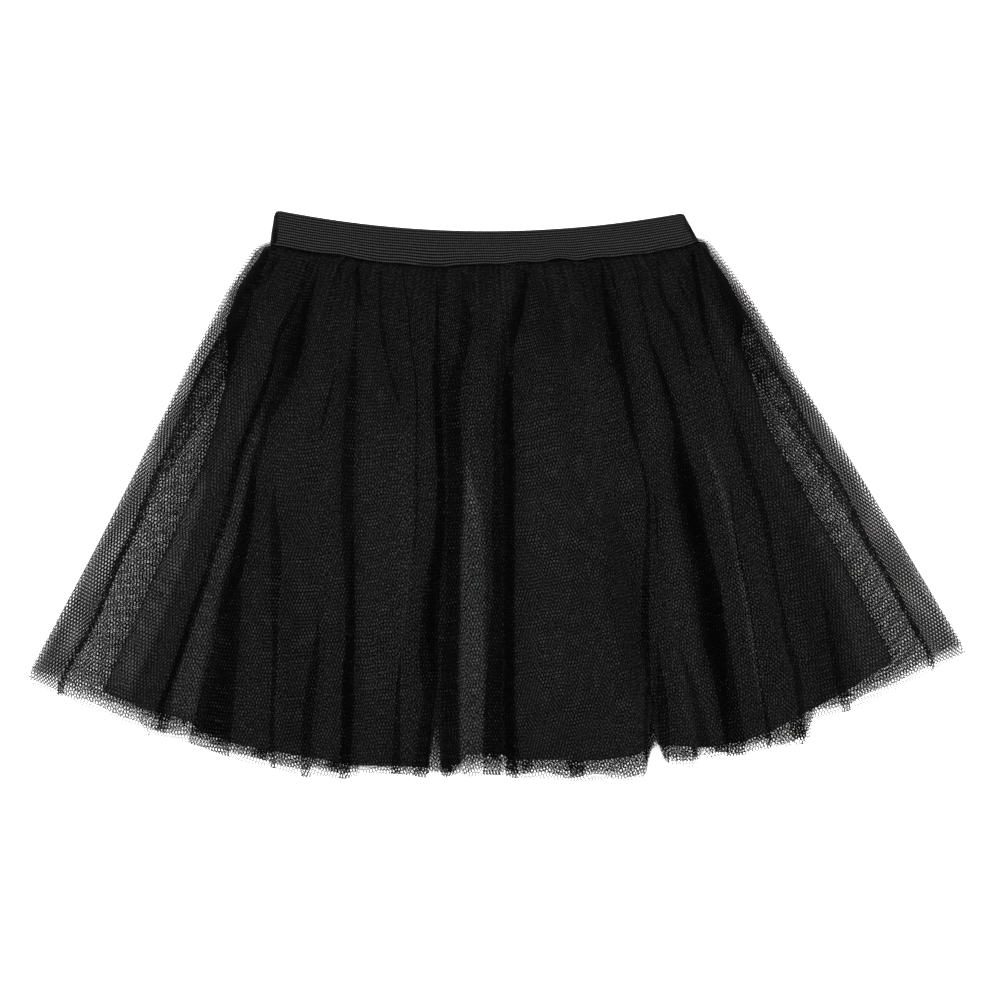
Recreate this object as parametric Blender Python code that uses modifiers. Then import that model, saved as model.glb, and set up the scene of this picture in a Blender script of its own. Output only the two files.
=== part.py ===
"""A child's gathered tulle skirt, laid flat on its back with the front up.

Five pieces, each a closed wall: a ribbed elastic waistband, an outer and a second
tube of tulle gathered into it, and the front and back of an A-line under layer.
X runs across the skirt, Y from hem to waist and Z up off the surface.
All tables are in millimetres; the meshes are made in metres.
"""
import math
from collections import namedtuple

import bpy

MM = 0.001
COLLECTION = "tulle_skirt"

# ---------------------------------------------------------------- columns of the tables
Side = namedtuple("Side", "share left right")
Point = namedtuple("Point", "x y")
Gap = namedtuple("Gap", "middle half_width height")
Fold = namedtuple("Fold", "faces edge_x lap")
Layer = namedtuple("Layer", "in_band at_side on_body folds")
Cloth = namedtuple("Cloth", "colour roughness")

# ---------------------------------------------------------------- driving sizes, mm
CLOTH = 1.0               # thickness of every tulle and under-layer wall
CLEAR = 0.3               # free space between walls that lie on each other
LAYER = CLOTH + CLEAR     # from the middle of one wall to the middle of the next

BAND_WALL = 1.3           # elastic without its ribs
BAND_MOUTH = 7.0          # free height inside the band over the tucked gathers
BAND_RIM = 2.2            # free height inside the band at its upper edge
BAND_FULL = 0.36          # share of the band's width that keeps the mouth's height
BAND_INSIDE = (0.0, BAND_FULL, 0.68, 1.0)   # where its plain inside has its rings
RIBS = 12                 # raised ribs that run round the elastic
RIB_HEIGHT = 0.35
BAND_STATIONS = 14        # stretches along each side of the band
BAND_END_STEPS = 6        # stretches round each end of it
BAND_LOWER = {"left": (-136.6, 154.3), "right": (122.0, 157.0), "sag": 13.9}
BAND_UPPER = {"left": (-134.6, 174.6), "right": (114.6, 174.2), "sag": 12.9}

# The skirt's two side edges: share of the way from the seam to the hem, x of the
# left edge and x of the right edge. The row under zero is tucked into the band,
# and below the seam the gathers spread into a shoulder at once.
SIDES = tuple(Side(*row) for row in (
    (-0.017, -133.6, 117.2),
    (0.004, -134.5, 119.6),
    (0.018, -144.2, 128.4),
    (0.05, -153.0, 138.0),
    (0.10, -161.8, 147.4),
    (0.16, -170.2, 157.6),
    (0.30, -189.8, 179.0),
    (0.50, -217.0, 212.0),
    (0.72, -248.0, 246.0),
    (1.00, -285.5, 285.5),
))

# The outer tulle's cut hem from the left corner to the right one, stepping where
# one fold hangs lower than the next.
HEM = tuple(Point(*row) for row in (
    (-285.5, -111.6),
    (-266, -119),
    (-249, -130),
    (-214, -143),
    (-187, -152),
    (-157, -161),
    (-121, -169),
    (-93, -174),
    (-84, -169),
    (-42, -169),
    (-33, -169),
    (-11, -173),
    (7, -170.5),
    (28, -173.5),
    (60, -172.5),
    (90, -174.5),
    (101, -165),
    (117, -164),
    (127, -159),
    (154, -159),
    (172, -154),
    (189, -149),
    (196, -136),
    (218, -130),
    (255, -109.5),
    (285.5, -94.6),
))

# Places where two folds of the front part at the hem and the cloth between them
# stops short: middle of the gap, half its width and how far it runs up.
HEM_GAPS = tuple(Gap(*row) for row in (
    (-37.5, 4.5, 24.0),
    (97.5, 4.0, 17.0),
))
GAP_SHARE = 0.75          # the cloth shortens from here down to the hem

# Folds of the outer tulle, left to right. Each row is one pleat that doubles the
# cloth back on itself: the way its edge faces (-1 left, +1 right), the edge's x at
# the seam, a quarter, a half and three quarters of the way down and at the hem,
# and how far the cloth laps back there. A lap under zero is cloth that has opened.
FRONT_FOLDS = tuple(Fold(*row) for row in (
    (-1, (-128.5, -176, -207, -237, -265), (2.5, 13, 10, 5, 2)),
    (-1, (-121, -153, -182, -198, -212), (-2, 0, 2.5, 5, 5.5)),
    (+1, (-112, -137, -159, -182, -202), (3, 4, 5, 7, 6)),
    (-1, (-108, -134, -151, -169, -185), (4, 12, 5, 12, 13)),
    (-1, (-99, -118, -137, -137, -137), (-4, 0, 7, 8, 8)),
    (+1, (-91, -102, -107, -109, -109), (0, 2, 0, 6, 8)),
    (+1, (-81, -85, -86, -86, -87), (2.5, 6, 6, 7, 7)),
    (+1, (-68, -61, -62, -65, -68), (3.5, 3, 0, -4, -5)),
    (+1, (-55, -49, -50, -53, -57), (1.5, 1.5, 2, 2, 0)),
    (+1, (-35, -33, -30, -34, -41.5), (3, 4, 8, 12, 8.5)),
    (-1, (-24, -29, -27, -31, -33.5), (4, 8.5, 6, 11, 12)),
    (+1, (3, 1, 1.5, 1.5, 2), (0, 2, 4, 7, 10)),
    (-1, (16, 5, 4.5, 4.5, 5), (4, 5.5, 7, 8, 7.5)),
    (+1, (64, 79, 94, 93, 94), (3, 7, 4, 5, 7)),
    (-1, (74, 86, 99, 98, 100.5), (2, 0, 0, 3, 6)),
    (-1, (84, 101, 114, 127, 139), (2.5, 4, 12, 15, 11)),
    (-1, (92, 114, 132, 147, 155), (3, 5, 0, -4, -5)),
    (+1, (99, 129, 140, 154, 165), (2, 2.5, 2, 2.5, 4)),
    (+1, (104.5, 138, 168, 178, 190), (-4, 0, 2, 3.5, 4)),
    (+1, (109, 147, 184, 199, 216), (-4, 0, 2.5, 4, 5)),
    (+1, (113, 164, 200, 235, 268), (2.5, 12, 10, 5, 2)),
))
BACK_FOLDS = tuple(Fold(*row) for row in (
    (-1, (-122, -150, -186, -222, -250), (2, 9, 8, 5, 3)),
    (+1, (-104, -126, -150, -176, -203), (3, 5, 7, 6, 7)),
    (-1, (-88, -104, -119, -136, -150), (2, 6, 4, 8, 9)),
    (-1, (-66, -76, -88, -97, -103), (3, 4, 6, 5, 6)),
    (+1, (-47, -50, -53, -58, -66), (3, 7, 5, 8, 8)),
    (+1, (-24, -25, -22, -25, -28), (2, 4, 6, 4, 7)),
    (-1, (-2, 3, 9, 12, 16), (3, 6, 9, 7, 6)),
    (+1, (23, 35, 43, 50, 54), (3, 4, 5, 8, 9)),
    (-1, (45, 60, 74, 84, 92), (2, 5, 6, 5, 8)),
    (+1, (67, 92, 110, 125, 140), (3, 6, 4, 7, 6)),
    (+1, (86, 121, 150, 172, 190), (2, 4, 7, 6, 8)),
    (+1, (107, 148, 185, 216, 248), (2, 9, 8, 5, 3)),
))

# Where the cross sections of the tulle are taken, as a share of the way down.
TULLE_SHARES = (-0.017, 0.004, 0.018, 0.06, 0.14, 0.25, 0.5, 0.75, 1.0)
FOLD_HEIGHT = 2 * LAYER + 0.1   # from a fold's lowest cloth to its top cloth
FOLD_TILT = 0.03          # the cloth under a fold slopes this far off the middle level
FOLD_MARGIN = 1.8         # flat cloth kept beyond a fold before the cloth rises
FOLD_OPEN = 1.2           # how far an opened fold's turns spread
SHUT_LAP = 0.6            # a lap of this or more has its turns shut tight,
OPEN_LAP = -2.0           # at this one the fold stands open, as it is sewn in the seam,
FADED_LAP = -5.0          # and at this one it has faded out
FOLD_FLAT = 0.3           # height that is left of a faded fold
SEAM_FOLD = 0.12          # and of one that is sewn into the band
FOLD_ROOM = 0.86          # share of the way to its neighbour that a fold may fill
SIDE_KEPT = 2.5           # cloth with no fold in it beside the tube's rounded sides
SEAM_SHARE = 0.004        # the cloth leaves the band's mouth here,
SWELL_SHARE = 0.018       # has its full height here, with its folds upright,
LAP_SHARE = 0.06          # and its folds lie over here
BACK_RISE = 4.0           # run in which the back's cloth climbs onto a fold,
BACK_MEET = 0.9           # or less, as a share of the way to the middle between two folds
CROWN = 0.05              # how high a front panel arches, as a share of its width
CROWN_MOST = 2.0
MITRE_MOST = 1.45         # longest offset at a sharp turn, in half walls

SECOND_INSET = 3.5        # the second tube lies this far inside the outer one,
SECOND_TUCKED = 2.0       # and this far where both are tucked into the band
SECOND_LATE = 5.5         # it rises to full height this much further in
SECOND_LENGTH = 0.984     # and ends at this share of the outer one's length
SECOND_ENDS = (2.5, 6, 10, 15, 22, 31, 42)   # its first columns, in from each end
SECOND_WAVES = 12         # shallow waves across the rest of one side
SECOND_WAVE = 0.08

# The under layer's sides run straight from the seam to the ends of its curved hem.
UNDER_SEAM_X = {"left": -127.0, "right": 111.0}
UNDER_HEM = {"left": (-239.7, -119.0), "right": (242.2, -100.6), "sag": 50.0}
UNDER_COLUMNS = 18
UNDER_SHARES = (0.02, 0.1, 0.25, 0.45, 0.65, 0.85, 1.0)

# What lies below each layer, in walls: inside the waistband, at the skirt's side
# edges and on its body, and whether the folds of the back lie below it too.
STACK = {
    "outer_back": Layer(0, 0, 0, 0),
    "second_back": Layer(1.15, 1.2, 1.2, 1),
    "under_back": Layer(1.5, 1.5, 2.3, 1),
    "under_front": Layer(1.5, 1.5, 3.3, 1),
    "second_front": Layer(2.3, 2.4, 4.4, 1),
    "outer_front": Layer(3.4, 3.6, 5.6, 1),
}
STACK_RUN = 9.0           # run from the side edge to full height at the seam,
STACK_SPREAD = 25.0       # and how much longer it is at the hem

TURN_STEPS = (-math.pi / 2, 0.0, math.pi / 2)    # points round a flattened tube's side
SMOOTH_BELOW = math.radians(35)                  # faces that meet flatter are shaded smooth

CLOTHS = {
    "waistband": Cloth((0.022, 0.022, 0.023), 0.75),
    "outer_tulle": Cloth((0.012, 0.012, 0.013), 0.5),
    "second_tulle": Cloth((0.012, 0.012, 0.013), 0.55),
    "under_front": Cloth((0.03, 0.03, 0.031), 0.8),
    "under_back": Cloth((0.03, 0.03, 0.031), 0.85),
}


# ---------------------------------------------------------------- small helpers
def blend(start, end, share):
    """The value that share of the way from start to end."""
    return start + (end - start) * share


def ease(share):
    """0 to 1 with level ends, for shares outside 0 to 1 too."""
    share = min(max(share, 0.0), 1.0)
    return share * share * (3 - 2 * share)


def along_table(rows, key, column):
    """Straight-line reading of a named column of a table sorted by its first one."""
    if key <= rows[0][0]:
        return getattr(rows[0], column)
    for low, high in zip(rows, rows[1:]):
        if key <= high[0]:
            place = (key - low[0]) / (high[0] - low[0])
            return blend(getattr(low, column), getattr(high, column), place)
    return getattr(rows[-1], column)


def along_fold(values, share):
    """A smooth curve through five values spaced evenly from seam to hem."""
    place = min(max(share, 0.0), 1.0) * (len(values) - 1)
    first = min(int(place), len(values) - 2)
    t = place - first
    before = values[max(first - 1, 0)]
    start, end = values[first], values[first + 1]
    after = values[min(first + 2, len(values) - 1)]
    leave, arrive = (end - before) / 2, (after - start) / 2
    return (start * (1 + 2 * t) * (1 - t) ** 2 + leave * t * (1 - t) ** 2
            + end * (3 - 2 * t) * t * t - arrive * t * t * (1 - t))


def sagging(edge, share):
    """A point that share of the way along an edge which hangs between its ends."""
    x = blend(edge["left"][0], edge["right"][0], share)
    y = blend(edge["left"][1], edge["right"][1], share)
    return x, y - edge["sag"] * (1 - (2 * share - 1) ** 2)


# ---------------------------------------------------------------- the skirt's plan
def side_edges(share):
    """x of the left and right edges that share of the way down."""
    return along_table(SIDES, share, "left"), along_table(SIDES, share, "right")


def fan_share(x, share):
    """How far across the fan a point is, 0 at the left edge and 1 at the right."""
    left, right = side_edges(share)
    return (x - left) / (right - left)


def seam_y(across):
    """Height of the seam under the waistband, that share of the way across."""
    return sagging(BAND_LOWER, across)[1]


def hem_y(across):
    """Height of the outer tulle's hem, that share of the way across."""
    return along_table(HEM, blend(HEM[0].x, HEM[-1].x, across), "y")


def gap_height(across):
    """How much shorter the front's cloth is where two folds part at the hem."""
    x = blend(HEM[0].x, HEM[-1].x, across)
    return sum(gap.height * ease(1 - abs(x - gap.middle) / gap.half_width)
               for gap in HEM_GAPS)


def cloth_y(x, share, gaps=False):
    """y of the cloth at x; the front's gaps at the hem only shorten its last rows."""
    across = fan_share(x, share)
    lift = gap_height(across) * ease((share - GAP_SHARE) / (1 - GAP_SHARE)) if gaps else 0.0
    return blend(seam_y(across), hem_y(across), share) + lift


# ---------------------------------------------------------------- stacked heights
def swelling(share):
    """How far the gathers have swelled, 0 in the band's mouth to 1 just below it."""
    return ease((share - SEAM_SHARE) / (SWELL_SHARE - SEAM_SHARE))


def stack_height(layer, from_side, share):
    """Height of the middle of a layer's wall, that far in from the skirt's side."""
    below = STACK[layer]
    sewn = BAND_WALL + CLEAR + CLOTH / 2 + below.in_band * LAYER
    sewn += below.folds * FOLD_HEIGHT * SEAM_FOLD
    side = CLOTH / 2 + below.at_side * LAYER
    body = CLOTH / 2 + below.on_body * LAYER + below.folds * FOLD_HEIGHT
    run = STACK_RUN + STACK_SPREAD * max(share, 0.0)
    return blend(sewn, blend(side, body, ease(from_side / run)), swelling(share))


# ---------------------------------------------------------------- folded sections
def fold_outline(lap):
    """One fold across its edge: steps from the edge (away is positive) and level.

    It runs from the top cloth round the edge, back under it for the lap, round the
    hidden turn and out again as the bottom cloth.
    """
    spread = FOLD_OPEN * (1 - ease((lap - OPEN_LAP) / (SHUT_LAP - OPEN_LAP)))
    return (
        (-max(lap, 0.0) - FOLD_MARGIN - spread, 1.0),
        (-spread, 1.0),
        (0.0, 0.5 + FOLD_TILT),
        (-lap, 0.5 - FOLD_TILT),
        (-lap + spread, 0.0),
        (max(-lap, 0.0) + spread + FOLD_MARGIN, 0.0),
    )


def fold_row(fold, share):
    """A fold's edge, its points across and its height at one section."""
    sewn = 1 - swelling(share)
    closed = ease((share - SWELL_SHARE) / (LAP_SHARE - SWELL_SHARE))
    lap = blend(OPEN_LAP * sewn, along_fold(fold.lap, share), closed)
    left, right = side_edges(share)
    edge = blend(left, right, fan_share(along_fold(fold.edge_x, share), max(share, 0.0)))
    kept = ease((lap - FADED_LAP) / (OPEN_LAP - FADED_LAP))
    height = FOLD_HEIGHT * blend(blend(FOLD_FLAT, 1.0, kept), SEAM_FOLD, sewn)
    points = [(fold.faces * step, level) for step, level in fold_outline(lap)]
    return {"edge": edge, "points": points[::fold.faces], "height": height}


def fit_folds(rows, left, right):
    """Draw in what reaches over a fold's neighbours, so that no two folds meet."""
    ends = [{"edge": left, "points": [(0, 0), (1, 0)]}, *rows,
            {"edge": right, "points": [(-1, 0), (0, 0)]}]
    for near, far in zip(ends, ends[1:]):
        room = FOLD_ROOM * (far["edge"] - near["edge"])
        wanted = max(step for step, _ in near["points"]) - min(step for step, _ in far["points"])
        near["shrink_right"] = far["shrink_left"] = min(1.0, room / wanted)
    for row in rows:
        row["points"] = [
            (row["edge"] + step * row["shrink_right" if step > 0 else "shrink_left"], level)
            for step, level in row["points"]]


def between_folds(side, start, end, share, height):
    """Points of the cloth between two folds: the front arches, the back lies down."""
    middle = (start[0] + end[0]) / 2
    if side == "front":
        arch = min(CROWN * (end[0] - start[0]), CROWN_MOST) * swelling(share)
        return [(middle, (start[1] + end[1]) / 2 + arch)]
    down = min(start[0] + BACK_RISE, blend(start[0], middle, BACK_MEET))
    up = max(end[0] - BACK_RISE, blend(end[0], middle, BACK_MEET))
    return [(down, height(down)), (up, height(up))]


def folded_side(folds, share, side):
    """Points (x, z) of the outer tulle's front or back, from left to right."""
    left, right = side_edges(share)
    rows = [fold_row(fold, share) for fold in folds]
    fit_folds(rows, left + SIDE_KEPT, right - SIDE_KEPT)

    def height(x):
        return stack_height("outer_" + side, min(x - left, right - x), share)

    points = []
    for row in rows:
        pleat = [(x, height(x) + level * row["height"]) for x, level in row["points"]]
        if points:
            points += between_folds(side, points[-1], pleat[0], share, height)
        points += pleat
    return points


def waved_side(share, side, inset):
    """Points (x, z) of the second tulle's front or back, from left to right."""
    left, right = side_edges(share)
    left_columns = [left + inset + step for step in SECOND_ENDS]
    right_columns = [right - inset - step for step in SECOND_ENDS[::-1]]
    middle_columns = [blend(left_columns[-1], right_columns[0], step / SECOND_WAVES)
                      for step in range(1, SECOND_WAVES)]
    points = []
    for step, x in enumerate(left_columns + middle_columns + right_columns):
        from_side = max(min(x - left, right - x) - SECOND_LATE, 0.0)
        height = stack_height("second_" + side, from_side, share)
        points.append((x, height + SECOND_WAVE * (-1) ** step))
    return points


def end_turn(x_edge, inward, low, high):
    """The rounded side of a flattened tube, from its lower wall to its upper one."""
    radius = (high - low) / 2
    middle = (high + low) / 2
    return [(x_edge + inward * radius * (1 - math.cos(angle)), middle + radius * math.sin(angle))
            for angle in TURN_STEPS]


def tube_ring(layer, front, back, share, inset):
    """One closed section of a flattened tube: left end, front, right end, back."""
    left, right = side_edges(share)
    low = stack_height(layer + "_back", 0.0, share)
    high = stack_height(layer + "_front", 0.0, share)
    return (end_turn(left + inset, 1, low, high) + front
            + end_turn(right - inset, -1, low, high)[::-1] + back[::-1])


# ---------------------------------------------------------------- meshes
def outward(ring):
    """Offset of each point of a closed section to its outer side, for one half wall."""
    offsets = []
    for k, (x, _, z) in enumerate(ring):
        before, after = ring[k - 1], ring[(k + 1) % len(ring)]
        ways = []
        for (xa, _, za), (xb, _, zb) in ((before, ring[k]), (ring[k], after)):
            length = math.hypot(xb - xa, zb - za)
            ways.append((-(zb - za) / length, (xb - xa) / length))
        across, up = ways[0][0] + ways[1][0], ways[0][1] + ways[1][1]
        size = math.hypot(across, up)
        mitre = min(2 / size, MITRE_MOST)
        offsets.append((across / size * mitre, up / size * mitre))
    return offsets


def walled_tube(name, rings):
    """A closed wall through closed sections, half its thickness to each side."""
    skins = []
    for way in (1, -1):
        half = way * CLOTH / 2
        skins += [[(x + across * half, y, z + up * half)
                   for (x, y, z), (across, up) in zip(ring, outward(ring))]
                  for ring in rings[::way]]
    closed_loft(name, skins, turn=len(rings))


def closed_loft(name, rings, turn=0):
    """A closed surface through closed rings, the last one joined to the first.

    The rings from turn on lie under the ones before it, in the opposite order. Every
    four-sided face is cut from its corner at the smaller x and the higher y, so that
    cloth lying on cloth bends along the same lines.
    """
    count = len(rings[0])
    faces = []
    for row in range(len(rings)):
        onward = (row + 1) % len(rings)
        upper = row if row < turn else onward
        for k in range(count):
            beside = (k + 1) % count
            corners = (onward * count + k, onward * count + beside,
                       row * count + beside, row * count + k)
            rightward = rings[upper][k][0] <= rings[upper][beside][0]
            first = 1 if rightward == (upper == row) else 0
            around = corners[first:] + corners[:first]
            faces += [around[:3], (around[0], around[2], around[3])]
    new_object(name, [point for ring in rings for point in ring], faces)


def new_object(name, vertices, faces):
    """Put a mesh in the skirt's collection under its own name, in its own cloth."""
    mesh = bpy.data.meshes.new(name)
    mesh.from_pydata([tuple(value * MM for value in point) for point in vertices], [], faces)
    mesh.materials.append(fabric(name, CLOTHS[name]))
    mesh.shade_smooth()
    mesh.set_sharp_from_angle(angle=SMOOTH_BELOW)
    made = bpy.data.objects.new(name, mesh)
    bpy.data.collections[COLLECTION].objects.link(made)
    return made


def panel(name, rows):
    """A closed wall through open rows of points, half its thickness to each side."""
    count = len(rows[0])
    faces = [(row * count + k, row * count + k + 1, (row + 1) * count + k + 1, (row + 1) * count + k)
             for row in range(len(rows) - 1) for k in range(count - 1)]
    made = new_object(name, [point for row in rows for point in row], faces)
    wall = made.modifiers.new("wall", "SOLIDIFY")
    wall.thickness = CLOTH * MM
    wall.offset = 0.0


def fabric(name, cloth):
    """A plain cloth material."""
    made = bpy.data.materials.new(name)
    made.use_nodes = True
    shader = made.node_tree.nodes["Principled BSDF"]
    shader.inputs["Base Color"].default_value = (*cloth.colour, 1.0)
    shader.inputs["Roughness"].default_value = cloth.roughness
    shader.inputs["Metallic"].default_value = 0.0
    return made


# ---------------------------------------------------------------- the pieces
def make_outer_tulle():
    """The outer tube of tulle with its pleats."""
    rings = []
    for share in TULLE_SHARES:
        front = folded_side(FRONT_FOLDS, share, "front")
        back = folded_side(BACK_FOLDS, share, "back")
        ring = tube_ring("outer", front, back, share, 0.0)
        last_front = len(ring) - len(back)
        rings.append([(x, cloth_y(x, share, gaps=k < last_front), z)
                      for k, (x, z) in enumerate(ring)])
    walled_tube("outer_tulle", rings)


def make_second_tulle():
    """The second tube of tulle, inside the outer one and a little shorter."""
    rings = []
    for outer_share in TULLE_SHARES:
        share = outer_share * SECOND_LENGTH
        inset = blend(SECOND_TUCKED, SECOND_INSET, swelling(share))
        front, back = (waved_side(share, side, inset) for side in ("front", "back"))
        ring = tube_ring("second", front, back, share, inset)
        rings.append([(x, cloth_y(x, share), z) for x, z in ring])
    walled_tube("second_tulle", rings)


def make_under_layer(side):
    """The front or back of the A-line under layer, a flat panel with straight sides."""
    rows = []
    for share in UNDER_SHARES:
        edges = side_edges(share)
        row = []
        for step in range(UNDER_COLUMNS + 1):
            across = step / UNDER_COLUMNS
            hem_x, under_hem_y = sagging(UNDER_HEM, across)
            x = blend(blend(UNDER_SEAM_X["left"], UNDER_SEAM_X["right"], across), hem_x, share)
            y = blend(seam_y(fan_share(x, share)), under_hem_y, share)
            row.append((x, y, stack_height("under_" + side, min(x - edges[0], edges[1] - x), share)))
        rows.append(row)
    panel("under_" + side, rows)


def band_free(share):
    """Free height inside the band that share of the way up it."""
    return blend(BAND_MOUTH, BAND_RIM, ease((share - BAND_FULL) / (1 - BAND_FULL)))


def band_ring(share, swell):
    """A ring round the band: the front wall, an end, the back wall on the floor, an end."""
    reach = (band_free(share) + BAND_WALL) / 2
    middle = BAND_WALL / 2 + reach
    corner = reach + BAND_WALL / 2
    reach += swell
    ring = []
    for side in (1, -1):
        ends = (0.0, 1.0)[::side]
        for step in range(1, BAND_STATIONS):
            ring.append((blend(*ends, step / BAND_STATIONS), 0.0, middle + side * reach))
        for step in range(BAND_END_STEPS + 1):
            angle = math.pi / 2 - math.pi * step / BAND_END_STEPS
            inward = corner - reach * math.cos(angle)
            ring.append((ends[1], -side * inward, middle + side * reach * math.sin(angle)))
    points = []
    for along, shift, z in ring:
        lower, upper = sagging(BAND_LOWER, along), sagging(BAND_UPPER, along)
        points.append((blend(lower[0], upper[0], share) + shift,
                       blend(lower[1], upper[1], share), z))
    return points


def make_waistband():
    """The elastic: one loop, ribbed outside and plain inside."""
    last = 2 * RIBS
    outside = [band_ring(step / last, BAND_WALL / 2 - (0.0 if step % 2 else RIB_HEIGHT))
               for step in range(last, -1, -1)]
    inside = [band_ring(share, -BAND_WALL / 2) for share in BAND_INSIDE]
    closed_loft("waistband", outside + inside)


def main():
    for old in list(bpy.data.objects):
        bpy.data.objects.remove(old)
    bpy.context.scene.collection.children.link(bpy.data.collections.new(COLLECTION))
    make_waistband()
    make_outer_tulle()
    make_second_tulle()
    make_under_layer("front")
    make_under_layer("back")


main()
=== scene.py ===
"""The looks of a child's black tulle skirt that lies flat on its back.

Every piece of cloth is a thin shell near the middle of its solid's wall: two tubes of
net, each with the front's and the back's folds, two under panels and the ribbed elastic.
Sizes are in millimetres. The walls and heights are close to the solids'. The outline, the
hems, the folds and the band's ends have tables of their own, and don't repeat the solids'.
The second net's folds are only here. The under panels reach about 20 mm past their solids'
straight sides below the band, and their hem lies up to 21 mm off their solids' curved one.
"""
import math
import random

import bpy
import numpy as np
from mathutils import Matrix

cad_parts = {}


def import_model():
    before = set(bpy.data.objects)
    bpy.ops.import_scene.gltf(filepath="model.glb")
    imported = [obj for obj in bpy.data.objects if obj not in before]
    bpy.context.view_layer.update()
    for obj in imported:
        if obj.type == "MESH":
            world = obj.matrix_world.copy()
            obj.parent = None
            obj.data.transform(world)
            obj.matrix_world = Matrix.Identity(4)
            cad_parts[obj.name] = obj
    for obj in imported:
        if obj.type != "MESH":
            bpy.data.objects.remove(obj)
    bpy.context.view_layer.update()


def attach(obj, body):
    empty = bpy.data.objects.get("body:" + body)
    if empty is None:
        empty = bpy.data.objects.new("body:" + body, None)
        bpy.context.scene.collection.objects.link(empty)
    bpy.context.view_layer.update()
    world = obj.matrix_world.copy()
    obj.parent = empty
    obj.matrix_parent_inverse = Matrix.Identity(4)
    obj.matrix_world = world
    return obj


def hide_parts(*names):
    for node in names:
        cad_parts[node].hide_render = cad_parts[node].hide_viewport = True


MM = 0.001

# ---------------------------------------------------------------- sizes, near the solids'
CLOTH = 1.0
CLEAR = 0.3
LAYER = CLOTH + CLEAR
BAND_WALL = 1.3
BAND_MOUTH = 7.0
BAND_RIM = 2.2
BAND_FULL = 0.36
BAND_LOWER = {"left": (-138.5, 154.3), "right": (124.2, 157.0), "sag": 13.9}
BAND_UPPER = {"left": (-136.5, 176.2), "right": (116.9, 174.5), "sag": 12.4}

# share of the way from seam to hem, x of the left edge, x of the right edge
SIDES = (
    (-0.017, -133.6, 117.2),
    (-0.010, -135.2, 119.5),
    (-0.004, -142.0, 127.5),
    (0.0015, -145.6, 130.6),
    (0.012, -149.4, 133.2),
    (0.05, -156.0, 140.9),
    (0.10, -164.5, 150.0),
    (0.16, -172.9, 159.8),
    (0.30, -192.1, 180.6),
    (0.50, -219.0, 213.0),
    (0.72, -249.0, 246.9),
    (1.00, -288.2, 288.4),
)

# x and y of the cut hem, with the small steps where one fold hangs lower than the next
HEM = (
    (-285.5, -113.4), (-266, -120.2), (-249, -127), (-216, -140.5), (-214.5, -145),
    (-207, -146), (-187, -149.5), (-178, -152), (-171, -155.5), (-157, -159.5),
    (-143, -163.5), (-132, -166.5), (-120, -169), (-114, -171), (-111, -169),
    (-93, -172), (-84, -170.8), (-82.5, -166.5), (-80, -167.5), (-58, -169.5),
    (-43, -171), (-25, -170), (-23.5, -165), (-22, -165), (-21, -171), (-10, -169),
    (9, -170.5), (11, -172), (18, -171), (45, -172.5), (64, -172.5), (86, -172.5),
    (89, -172), (91.5, -166), (94, -157), (97, -152.5), (99.5, -155.5), (101, -162),
    (112, -163.5), (122, -164), (125, -156), (128, -159), (145, -158), (158, -155),
    (166, -153), (172, -153.5), (190, -149), (191, -139), (193, -134.5), (204, -132),
    (216, -130), (218, -128), (236, -119.5), (255, -110.3), (273, -101.3), (285.5, -96.5),
)
HEM_GAPS = ((-37.0, 4.5, 27.0), (95.8, 3.4, 24.0))     # middle, half width, height
GAP_SHARE = 0.75

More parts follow.
